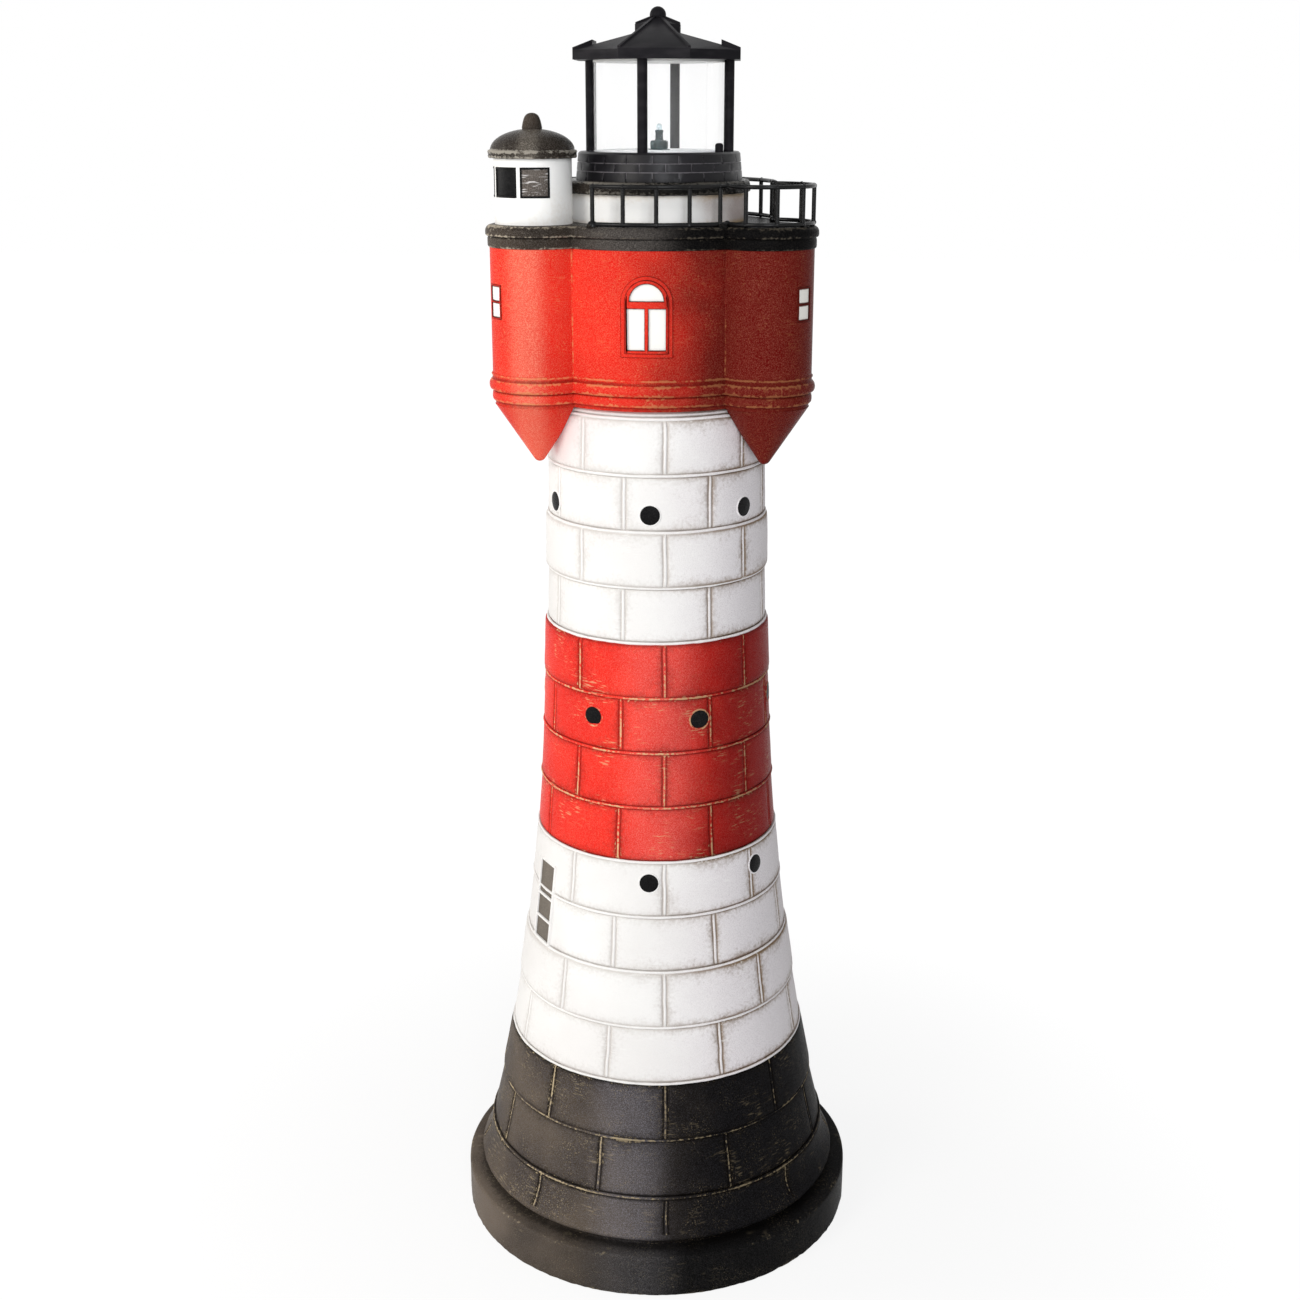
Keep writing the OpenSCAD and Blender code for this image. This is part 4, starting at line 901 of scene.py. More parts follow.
@dataclass
class Shaft:
    """The coursed shaft with its foot, portholes and tall window."""

    shop: Workshop
    top: float = 848.0
    course_h: float = 51.37
    gain: float = 0.4
    collar: float = 7.5
    radius_top: float = 102.0
    taper: float = 14.0
    flare: float = 58.0
    blocks: int = 8
    even_joint: float = 9.0
    even_drift: float = 0.1
    odd_joint: float = 33.1
    odd_drift: float = 0.25
    wall: float = 7.0
    between: int = 4
    plinth_h: float = 44.0
    foot_r: float = 186.5
    roll_r: float = 4.6
    roll_up: float = 11.6
    bead_r: float = 1.4
    sway: float = 0.35
    slot_z: float = 358.5
    slot_angle: float = -56.5
    slot_size: tuple[float, float, float] = (17.0, 33.0, 85.0)
    slot_out: float = 5.5
    rim_r: float = 9.6
    rim_thick: float = 0.85

    def line(self, number: int) -> float:
        """Give the height of a bed joint, counted from the top."""
        return self.top - self.course_h * number - self.gain * number * (number - 1) / 2

    def radius(self, z: float) -> float:
        """Give the shaft's mean radius at a height."""
        share = (self.top - z) / (self.top - self.line(14))
        return self.radius_top + self.taper * share + self.flare * share ** 3

    def lean(self, z: float) -> float:
        """Give how far the face leans in for each millimetre upwards."""
        return (self.radius(z - 10) - self.radius(z + 10)) / 20

    def step(self, number: int) -> float:
        """Give how far a course stands out from the mean."""
        return STEPS[number + 1]

    def first_joint(self, number: int) -> float:
        """Give the angle of a course's first upright joint."""
        if number % 2:
            return self.odd_joint - self.odd_drift * number
        return self.even_joint - self.even_drift * number

    def columns(self, number: int, radius: float) -> list[tuple[float, float, float, float]]:
        """Give angle, depth, wear and grime of each point round a course."""
        pitch = 360 / self.blocks
        start = self.first_joint(number)
        to_degrees = 180 / (math.pi * radius)
        points = []
        for block in range(self.blocks):
            middle = start + block * pitch
            for offset, depth, wear, grime in JOINT[:0:-1]:
                points.append((middle - offset * to_degrees, depth, wear, grime))
            for offset, depth, wear, grime in JOINT:
                points.append((middle + offset * to_degrees, depth, wear, grime))
            edge = JOINT[-1][0] * to_degrees
            gap = pitch - 2 * edge
            for index in range(self.between):
                points.append((middle + edge + gap * (index + 1) / (self.between + 1), *PLAIN))
        return points

    def spot(self, column: tuple, row: tuple, number: int, radius: float, z: float,
             joints: bool = True) -> Spot:
        """Give one point of a course's face.

        Args:
            column: Angle, depth, wear and grime across the upright joints.
            row: Depth, wear and grime across the bed joints.
            number: The course.
            radius: Radius of the plain face.
            z: Height.
            joints: False where the course has no upright joints.

        Returns:
            The point with its wear and grime.
        """
        angle, depth, wear, grime = column if joints else (column[0], *PLAIN)
        here = polar(radius, angle, z)
        if joints:
            angle += self.sway * wobble(polar(radius, number * 45.0, z), 16.0, number)
        depth = min(depth, row[0]) + 0.28 * wobble(here, 22.0, number) + 0.10 * wobble(here, 6.0)
        return Spot(polar(radius + depth, angle, z), max(wear, row[1]), max(grime, row[2]))

    def course(self, number: int) -> bpy.types.Object:
        """Make one course of blocks as a closed ring."""
        high, low = min(self.line(number), self.top + self.collar), self.line(number + 1)
        half = (high - low) / 2
        rows = [(offset, *rest) for offset, *rest in BED if offset < half]
        levels = [(high - offset, tuple(rest)) for offset, *rest in rows]
        levels.append(((high + low) / 2, PLAIN))
        levels += [(low + offset, tuple(rest)) for offset, *rest in reversed(rows)]
        columns = self.columns(number, self.radius((high + low) / 2))
        rings = []
        for z, row in levels:
            radius = self.radius(z) + self.step(number)
            rings.append([self.spot(c, row, number, radius, z, number >= 0) for c in columns])
        for z in (low, high):
            inner = self.radius(z) - self.wall
            rings.append([Spot(polar(inner, c[0], z), 0.0, 0.5) for c in columns])
        return loft(f"course_{number + 1}", rings)

    def bead(self, number: int) -> bpy.types.Object:
        """Make the raised bead in a bed joint."""
        z, count, sides = self.line(number), 216, 8
        centre = self.radius(z) - 0.15 + max(min(self.step(number - 1), self.step(number)), -0.5)
        rings = []
        for side in range(sides):
            turn = math.tau * side / sides
            ring = []
            for index in range(count):
                angle = index * 360 / count
                here = polar(centre, angle, z)
                thick = self.bead_r * (1 + 0.25 * wobble(here, 9.0, number))
                lift = 0.35 * wobble(here, 30.0, number + 0.5)
                place = polar(centre + thick * math.cos(turn), angle,
                              z + lift + thick * math.sin(turn))
                ring.append(Spot(place, 0.95 * max(math.cos(turn), 0.0),
                                 0.9 if abs(math.sin(turn)) > 0.8 else 0.0))
            rings.append(ring)
        return loft(f"bead_{number}", rings)

    def foot(self) -> bpy.types.Object:
        """Make the last course, which spreads to a roll above the plinth."""
        number = 14
        high = self.line(number)
        roll_z = self.plinth_h + self.roll_up
        neck = self.foot_r - 8.5
        low = roll_z + self.roll_r * math.sin(math.radians(50))
        wide = self.foot_r - self.roll_r + self.roll_r * math.cos(math.radians(50))
        slim = self.radius(high) + self.step(number)
        columns = self.columns(number, wide)
        rings = []
        steps = 12
        outline = [(slim, high - offset, tuple(rest)) for offset, *rest in BED[:4]]
        for index in range(1, steps + 1):
            share = index / steps
            z = high - 3 - (high - 3 - low) * share
            u = (z - low) / (high - 1.1 - low)
            outline.append((slim + (wide - slim) * (1 - u) ** 2.2, z, PLAIN))
        for radius, z, row in outline:
            rings.append([self.spot(c, row, number, radius, z) for c in columns])
        for turn in range(35, -81, -16):
            a = math.radians(turn)
            radius = self.foot_r - self.roll_r + self.roll_r * math.cos(a)
            z = roll_z + self.roll_r * math.sin(a)
            rings.append([self.spot(c, (0.0, 0.35, 0.1), number, radius, z, False)
                          for c in columns])
        inner = self.radius(high) - self.wall
        for radius, z in ((neck, self.plinth_h + 4), (neck, self.plinth_h),
                          (neck - self.wall, self.plinth_h), (inner, high)):
            rings.append([Spot(polar(radius, c[0], z), 0.0, 0.8) for c in columns])
        return loft("foot", rings)

    def tall_window_cutter(self) -> bpy.types.Object:
        """Make the block that cuts the tall window's seat."""
        z, reach = self.slot_z, 40
        lean = math.atan((self.radius(z - reach) - self.radius(z + reach)) / (2 * reach))
        bpy.ops.object.select_all(action="DESELECT")
        bpy.ops.mesh.primitive_cube_add(size=1.0)
        cutter = bpy.context.object
        cutter.data.transform(Matrix.Diagonal((*(side * MM for side in self.slot_size), 1)))
        cutter.data.transform(Matrix.Translation((self.slot_out * MM, 0, 0)))
        cutter.data.transform(Matrix.Rotation(-lean, 4, "Y"))
        cutter.data.transform(Matrix.Translation((self.radius(z) * MM, 0, z * MM)))
        cutter.data.transform(Matrix.Rotation(math.radians(self.slot_angle - 90), 4, "Z"))
        return cutter

    def rims(self, z: float, angles: Sequence[float], number: int, name: str
             ) -> bpy.types.Object:
        """Make the worn rims round a ring of portholes.

        Args:
            z: Height of the portholes.
            angles: Their angles.
            number: The course that they are in.
            name: Name of the piece.

        Returns:
            The rims as one piece.
        """
        radius = self.radius(z) + self.step(number) + 0.1
        lean = self.lean(z)
        rings = []
        for angle in angles:
            bpy.ops.object.select_all(action="DESELECT")
            bpy.ops.mesh.primitive_torus_add(
                major_radius=self.rim_r * MM, minor_radius=self.rim_thick * MM,
                major_segments=40, minor_segments=8)
            ring = bpy.context.object
            wear = ring.data.attributes.new("wear", "FLOAT", "POINT")
            for index, vertex in enumerate(ring.data.vertices):
                side, up, out = vertex.co.x, vertex.co.y, vertex.co.z
                flat = side * side / (2 * radius * MM)
                rough = 0.25 * MM * wobble(vertex.co, 4.0, angle)
                vertex.co = (radius * MM + out - flat + rough - up * lean, side, up)
                wear.data[index].value = 0.9
            ring.data.transform(Matrix.Translation((0, 0, z * MM)))
            ring.data.transform(Matrix.Rotation(math.radians(angle - 90), 4, "Z"))
            rings.append(ring)
        rims = join(name, rings)
        close_skin(rims)
        return rims

    def low_portholes(self, z: float) -> bpy.types.Object:
        """Copy the lowest portholes and lean them with the shaft's flare."""
        piece = softened("portholes_lower", 0.3, "portholes_leaning")
        lean, proud = self.lean(z), 0.3 * MM
        for vertex in piece.data.vertices:
            out = Vector((vertex.co.x, vertex.co.y, 0)).normalized()
            vertex.co += out * (proud - (vertex.co.z - z * MM) * lean)
        return piece

    def build(self) -> None:
        """Build the bands, the rims of the portholes and the tall window."""
        for band in Band:
            name, first, last, beads, finish, slot, node = band.value
            pieces = [self.course(number) for number in range(first, last + 1)]
            if band is Band.LOWER:
                cutter = self.tall_window_cutter()
                for piece in pieces[:2]:
                    apply(piece, "BOOLEAN", object=cutter, operation="DIFFERENCE",
                          solver="EXACT")
                bpy.data.objects.remove(cutter)
            if band is Band.BLACK:
                pieces.append(self.foot())
            pieces += [self.bead(number) for number in beads]
            self.shop.place(join(name, pieces), finish, slot, replaces=[node])
        for row in Portholes:
            z, angles, number, name, finish, slot = row.value
            self.shop.place(self.rims(z, angles, number, name), finish, slot)
        self.shop.dress("window_ink", "portholes_upper", "portholes_middle")
        low = Portholes.LOWER.value[0]
        self.shop.place(self.low_portholes(low), "window_ink", Slot.WINDOW_BLACK,
                        replaces=["portholes_lower"])
        self.shop.place(softened("tall_window_frame", 0.5, "tall_frame"), "white_blocks",
                        Slot.WHITE, replaces=["tall_window_frame"])
        self.shop.place(softened("tall_window_panes", 0.3, "tall_panes", rim=1.2),
                        "window_pane_dark", Slot.WINDOW_GREY, replaces=["tall_window_panes"])


@dataclass
class Plinth:
    """The round plinth with its ragged casting edge, and the plate under it."""

    shop: Workshop
    radius: float = 201.0
    height: float = 44.0
    inner: float = 171.0
    wall: float = 8.0

    def build(self) -> None:
        """Build the plinth and dress its plate and screws."""
        def rough(angle: float, radius: float, z: float) -> tuple[float, float]:
            """Make the bottom edge ragged and the face a little uneven."""
            here = polar(radius, angle, z)
            uneven = 0.35 * wobble(here, 40.0) + 0.12 * wobble(here, 7.0)
            if radius > self.radius - 4 and z < 6:
                uneven += 0.9 * wobble(here, 5.0, 2.0) * (1 - z / 6)
                z += max(0.0, 1.1 * wobble(here, 7.0, 3.0)) * (1 - z / 6)
            return min(radius + uneven, self.radius) if radius > self.inner + 2 else radius, z

        out, top = self.radius - 0.4, self.height
        profile = [(out - 1.8, 0.0, 0.6, 0.6), (out - 0.4, 0.8, 0.9, 0.5), (out, 2.2, 0.6, 0.3),
                   (out, 5.0, 0.2, 0.2), (out, 12.0, 0.0, 0.1), (out, 24.0, 0.0, 0.0),
                   (out, 34.0, 0.0, 0.0), (out, top - 4.0, 0.15, 0.0)]
        for turn in (20, 40, 60, 80):
            a = math.radians(turn)
            profile.append((out - 3.2 + 3.2 * math.cos(a), top - 3.2 + 3.2 * math.sin(a),
                            0.55, 0.0))
        profile += [(out - 8, top, 0.1, 0.3), (self.foot_line(), top, 0.0, 0.9),
                    (self.inner, top, 0.0, 0.5), (self.inner, top - 8, 0.0, 0.2),
                    (self.radius - self.wall - 1, top - 8, 0.0, 0.2),
                    (self.radius - self.wall - 1, 0.0, 0.0, 0.4)]
        piece = lathe("plinth_casting", profile, 288, shape=rough)
        self.shop.place(piece, "plinth_black", Slot.BLACK, replaces=["plinth"])
        self.shop.dress("cornice_black", "base_plate")
        self.shop.dress("bright_steel", "base_screws")

    def foot_line(self) -> float:
        """Give the radius where dirt gathers under the foot's roll."""
        return self.radius - 18.0


# ---------------------------------------------------------------- chamber and deck


@dataclass
class Trefoil:
    """The chamber's plan: a drum with three round bays."""

    drum_r: float = 110.0
    bay_r: float = 43.4
    bay_c: float = 117.5
    bays: tuple[float, float, float] = (60.0, 180.0, 300.0)
    drum_points: int = 22
    bay_points: int = 38

    def seam(self, grow: float) -> tuple[float, float]:
        """Give the half angles of a seam, seen from the drum and from the bay."""
        big, small = self.drum_r + grow, self.bay_r + grow
        drum = math.acos((big ** 2 + self.bay_c ** 2 - small ** 2) / (2 * big * self.bay_c))
        bay = math.pi - math.asin(big * math.sin(drum) / small)
        return math.degrees(drum), math.degrees(bay)

    def outline(self, grow: float, z: float) -> list[Vector]:
        """Give the plan grown outwards, as points in order round the axis."""
        drum, bay = self.seam(grow)
        points = []
        for middle in self.bays:
            centre = polar(self.bay_c, middle, 0)
            for index in range(self.bay_points):
                local = middle - bay + 2 * bay * index / self.bay_points
                points.append(centre + polar(self.bay_r + grow, local, z))
            first = middle + drum
            gap = 120 - 2 * drum
            for index in range(self.drum_points):
                points.append(polar(self.drum_r + grow, first + gap * index / self.drum_points, z))
        return points

    def sweep(self, name: str, profile: Sequence[tuple[float, float, float, float]], base: float,
              rough: float = 0.15, around: bool = True) -> bpy.types.Object:
        """Run a moulding round the plan.

        Args:
            name: Name of the piece.
            profile: Growth, height above base, wear and grime of each point.
            base: Height of the moulding's foot.
            rough: Unevenness of the casting.
            around: True for a closed tube.

        Returns:
            The moulding.
        """
        rings = []
        for grow, height, wear, grime in profile:
            ring = []
            for place in self.outline(grow, base + height):
                flat = Vector((place.x, place.y, 0))
                push = rough * (wobble(place, 25.0) + 0.5 * wobble(place, 7.0)) * MM
                ring.append(Spot(place + flat.normalized() * push, wear, grime))
            rings.append(ring)
        return loft(name, rings, around)


@dataclass
class Chamber:
    """The red upper chamber with its mouldings, seams, corbels and windows."""

    shop: Workshop
    plan: Trefoil
    drum_z: float = 855.5
    wall_z: float = 879.7
    top_z: float = 995.6

    def moulding(self) -> bpy.types.Object:
        """Make the two rolls round the drum's foot and the thin ridge above them."""
        profile = (
            (-12.0, 0.0, 0.0, 0.5), (-2.3, 0.0, 0.5, 0.5), (-2.1, 1.6, 0.2, 0.6),
            (-1.9, 3.2, 0.1, 0.9), (-0.7, 3.7, 0.7, 0.6), (0.3, 4.8, 1.0, 0.1),
            (0.7, 6.8, 0.55, 0.0), (0.6, 9.2, 0.45, 0.0), (0.1, 11.4, 0.7, 0.4),
            (-0.8, 12.6, 0.5, 1.0), (0.9, 13.3, 0.8, 0.7), (2.4, 14.4, 1.0, 0.1),
            (3.2, 16.4, 0.6, 0.0), (3.3, 18.6, 0.45, 0.0), (2.8, 20.8, 0.65, 0.0),
            (1.6, 22.6, 1.0, 0.2), (0.5, 23.5, 0.6, 0.9), (0.25, 25.0, 0.2, 0.8),
            (0.3, 26.2, 0.5, 0.3), (1.0, 26.9, 0.95, 0.0), (1.1, 27.7, 0.95, 0.0),
            (0.4, 28.6, 0.6, 0.4), (-0.4, 29.0, 0.3, 0.6), (-3.0, 29.0, 0.0, 0.2),
            (-7.5, 28.0, 0.0, 0.2), (-7.5, 1.0, 0.0, 0.2),
        )
        return self.plan.sweep("chamber_rolls", profile, self.drum_z, 0.22)

    def seam_beads(self) -> bpy.types.Object:
        """Make the thin rough beads where the bays meet the drum."""
        drum, _ = self.plan.seam(0.0)
        rows, sides, bead_r = 44, 8, 0.9
        low, high = self.wall_z + 3.5, self.top_z
        beads = []
        for middle in self.plan.bays:
            for turn in (-drum, drum):
                rings = []
                for row in range(rows + 1):
                    z = low + (high - low) * row / rows
                    here = polar(self.plan.drum_r, middle + turn, z)
                    tip = 0.01 if row in (0, rows) else 1
                    thick = bead_r * (1 + 0.5 * wobble(here, 6.0)) * tip
                    ring = []
                    for side in range(sides):
                        a = math.tau * side / sides
                        around = Vector((math.cos(a), math.sin(a), 0)) * thick * MM
                        sway = Vector((wobble(here, 12.0, 1), wobble(here, 12.0, 2), 0))
                        ring.append(Spot(here + around + sway * 0.35 * MM, 0.75, 0.3))
                    rings.append(ring)
                beads.append(loft("seam", rings, False))
        return join("bay_seams", beads)

    def build(self) -> None:
        """Build and dress the chamber."""
        place, dress = self.shop.place, self.shop.dress
        place(self.moulding(), "chamber_red", Slot.RED, replaces=["chamber_moulding"])
        place(self.seam_beads(), "chamber_red", Slot.RED)
        dress("chamber_red", "chamber_wall", "corbels")
        for node, name, width in (("arched_window_frame", "arched_frame", 0.45),
                                  ("bay_window_frames", "bay_frames", 0.3)):
            place(softened(node, width, name, rim=0.7), "frame_red", Slot.RED,
                  replaces=[node])
        for node, name in (("arched_window_panes", "arched_panes"),
                           ("bay_window_panes", "bay_panes")):
            place(softened(node, 0.4, name, rim=0.9), "window_pane_white", Slot.WINDOW_WHITE,
                  replaces=[node])


@dataclass
class Deck:
    """The cornice that is the deck, the pedestal and its rough coping."""

    shop: Workshop
    plan: Trefoil
    cornice_z: float = 995.6
    deck_z: float = 1015.4
    coping_z: float = 1041.0
    coping_h: float = 10.8
    coping_r: float = 85.2
    well_r: float = 65.0

    def cornice(self) -> bpy.types.Object:
        """Make the two-step cornice with the well through it."""
        profile = (
            (-9.0, 0.0, 0.0, 0.3), (0.6, 0.0, 0.5, 0.3), (1.4, 0.7, 0.8, 0.1),
            (1.7, 2.0, 0.4, 0.0), (1.7, 5.0, 0.1, 0.0), (1.6, 7.6, 0.2, 0.0),
            (1.1, 8.8, 0.5, 0.5), (1.2, 9.6, 0.3, 1.0), (2.5, 9.9, 0.5, 0.5),
            (3.3, 10.8, 0.8, 0.0), (3.5, 12.6, 0.3, 0.0), (3.4, 15.2, 0.2, 0.0),
            (2.4, 17.3, 0.5, 0.0), (0.6, 18.8, 0.8, 0.0), (-2.2, 19.6, 0.5, 0.0),
            (-5.0, 19.8, 0.1, 0.1), (-9.0, 19.8, 0.0, 0.2),
        )
        piece = self.plan.sweep("cornice_steps", profile, self.cornice_z, 0.3, around=False)
        edit(piece)
        bpy.ops.mesh.select_all(action="DESELECT")
        bpy.ops.mesh.select_non_manifold(extend=False, use_wire=False, use_multi_face=False,
                                         use_non_contiguous=False, use_verts=False)
        bpy.ops.mesh.edge_face_add()
        bpy.ops.object.mode_set(mode="OBJECT")
        close_skin(piece)
        bpy.ops.object.select_all(action="DESELECT")
        bpy.ops.mesh.primitive_cylinder_add(vertices=96, radius=self.well_r * MM, depth=0.1,
                                            location=(0, 0, self.deck_z * MM))
        cutter = bpy.context.object
        apply(piece, "BOOLEAN", object=cutter, operation="DIFFERENCE", solver="EXACT")
        bpy.data.objects.remove(cutter)
        only(piece)
        bpy.ops.object.shade_smooth_by_angle(angle=math.radians(35))
        return piece

    def coping(self) -> bpy.types.Object:
        """Make the rough ring of painted stone between pedestal and lantern."""
        def rough(angle: float, radius: float, z: float) -> tuple[float, float]:
            """Break up the outer face and leave the bore and the seat true."""
            if radius < self.coping_r - 6:
                return radius, z
            here = polar(radius, angle, z)
            lump = (0.9 * wobble(here, 7.0) + 0.7 * wobble(here, 3.2, 1.0)
                    + 0.4 * wobble(here, 15.0))
            drop = 0.6 * wobble(here, 4.0, 2.0) if z < self.coping_z + 2 else 0.0
            return radius + lump, z + min(drop, 0.0)

        low, tall, out = self.coping_z, self.coping_h, self.coping_r
        profile = [(self.well_r, low + 0.3, 0, 0.2), (out - 5, low + 0.2, 0, 0.5),
                   (out - 2.0, low - 0.3, 0.5, 0.5), (out - 0.6, low + 0.8, 1.0, 0.2),
                   (out - 0.1, low + 2.4, 0.7, 0.0), (out, low + 4.2, 0.4, 0.0),
                   (out - 0.1, low + 6.0, 0.4, 0.0), (out - 0.4, low + 7.8, 0.6, 0.0),
                   (out - 1.2, low + 9.4, 1.0, 0.0), (out - 2.6, low + tall - 0.3, 0.8, 0.0),
                   (out - 6.2, low + tall, 0.3, 0.2), (self.well_r, low + tall, 0.0, 0.2)]
        return lathe("rough_coping", profile, 300, shape=rough)

    def pedestal(self) -> bpy.types.Object:
        """Make the white pedestal, dirtier under the coping and at its foot."""
        def uneven(angle: float, radius: float, z: float) -> tuple[float, float]:
            """Make the outer face a little uneven."""
            return radius + 0.25 * wobble(polar(radius, angle, z), 18.0) * (radius > 75), z

        low, high, out = self.deck_z, self.coping_z, 80.5
        profile = [(68.7, low, 0, 0), (out, low, 0.2, 1.0), (out, low + 1.2, 0.1, 0.75),
                   (out, low + 3.5, 0, 0.3), (out, low + 9, 0, 0.05), (out, high - 9, 0, 0.1),
                   (out, high - 4, 0.1, 0.5), (out, high - 1.2, 0.3, 1.0), (out, high, 0.3, 1.0),
                   (68.7, high, 0, 0)]
        return lathe("white_pedestal", profile, 180, shape=uneven)

    def build(self) -> None:
        """Build the cornice, coping and pedestal."""
        place = self.shop.place
        place(self.cornice(), "cornice_black", Slot.BLACK, replaces=["cornice"])
        place(self.coping(), "coping_black", Slot.BLACK, replaces=["pedestal_coping"])
        place(self.pedestal(), "turret_white", Slot.WHITE, replaces=["lantern_pedestal"])


@dataclass
class Turret:
    """The small white turret with its windows, dome and knob."""

    shop: Workshop
    distance: float = 121.0
    angle: float = -60.2
    deck_z: float = 1015.4
    dome_z: float = 1071.5
    dome_r: float = 39.5
    rim_h: float = 6.8
    crown_h: float = 25.0
    lit_pane: float = 11.4

    def centre(self) -> tuple[float, float]:
        """Give the turret's axis in millimetres."""
        at = polar(self.distance, self.angle, 0) / MM
        return at.x, at.y

    def dome(self) -> bpy.types.Object:
        """Make the dome with its rough lip."""
        def rough(angle: float, radius: float, z: float) -> tuple[float, float]:
            """Roughen the lip and leave the spigot true."""
            if radius < 30 or z < self.dome_z:
                return radius, z
            here = polar(radius, angle, z)
            on_lip = z < self.dome_z + self.rim_h + 0.6
            lump = 0.55 * wobble(here, 5.0) + 0.5 * wobble(here, 11.0, 1) if on_lip else 0.0
            lift = 0.5 * wobble(here, 8.0, 2.0) if on_lip else 0.15 * wobble(here, 12.0)
            return radius + lump + 0.12 * wobble(here, 4.0), z + lift * (radius > 35)

        low, out = self.dome_z, self.dome_r
        spigot = 28.2
        profile = [(0.0, low - 5, 0, 0), (spigot, low - 5, 0, 0), (spigot, low + 0.05, 0, 0),
                   (out - 2.4, low + 0.1, 0.3, 0.6), (out - 0.9, low + 0.5, 0.9, 0.2),
                   (out - 0.2, low + 1.8, 0.8, 0.0), (out - 0.4, low + 3.2, 0.5, 0.5),
                   (out - 0.1, low + 4.4, 0.7, 0.1), (out + 0.3, low + 5.6, 1.0, 0.0),
                   (out - 0.4, low + 6.9, 1.0, 0.0), (out - 2.0, low + 7.3, 0.9, 0.3)]
        steps, cap = 14, out - 2.2
        for index in range(1, steps + 1):
            t = math.radians(90 * index / steps)
            profile.append((cap * math.cos(t), low + self.rim_h + (self.crown_h - self.rim_h)
                            * math.sin(t), 0.25 if index < 3 else 0.0, 0.0))
        profile[-1] = (0.0, low + self.crown_h, 0.0, 0.0)
        return lathe("turret_cap", profile, 144, self.centre(), rough, around=False)

    def knob(self) -> bpy.types.Object:
        """Make the glossy knob on the dome."""
        low = self.dome_z + self.crown_h - 0.9
        shape = ((0, 0.4, 0), (8.2, -0.1, 0.5), (8.8, 0.6, 0.6), (8.9, 2.0, 0.2), (8.4, 4.6, 0),
                 (7.7, 7.4, 0), (6.9, 9.8, 0), (5.9, 11.6, 0.1), (4.4, 13.0, 0.1),
                 (2.4, 13.9, 0.1), (0, 14.2, 0.1))
        profile = [(radius, low + height, wear, 0.0) for radius, height, wear in shape]
        return lathe("cap_knob", profile, 48, self.centre(), around=False)

    def panes(self) -> bpy.types.Object:
        """Copy the panes and keep the pale finish for the one that faces forward."""
        piece = softened("turret_window_panes", 0.4, "turret_panes")
        self.shop.paintbox.paint(piece, "window_ink", "window_pane_grey")
        x, y = self.centre()
        middle = Vector((x, y, 0)) * MM
        for polygon in piece.data.polygons:
            out = polygon.center - middle
            turn = math.degrees(math.atan2(out.x, -out.y))
            polygon.material_index = int(abs(turn - self.lit_pane) < 26)
        return piece

    def wall(self) -> bpy.types.Object:
        """Copy the wall and mark the dirt at its foot on the +X side."""
        piece = softened("turret_wall", 0.35, "turret_drum")
        dirt = piece.data.attributes["grime"]
        middle = self.centre()[0]
        for index, vertex in enumerate(piece.data.vertices):
            low = vertex.co.z / MM < self.deck_z + 2 and vertex.co.x / MM > middle
            dirt.data[index].value = 0.45 if low else 0.0
        return piece

    def build(self) -> None:
        """Build and dress the turret."""
        place = self.shop.place
        place(self.dome(), "coping_black", Slot.BLACK, replaces=["turret_dome"])
        place(self.knob(), "cornice_black", Slot.BLACK, replaces=["turret_knob"])
        place(self.wall(), "turret_white", Slot.WHITE, replaces=["turret_wall"])
        place(softened("turret_window_frames", 0.3, "turret_frames"), "window_ink",
              Slot.WINDOW_BLACK, replaces=["turret_window_frames"])
        place(self.panes(), "window_ink", Slot.WINDOW_GREY, replaces=["turret_window_panes"])


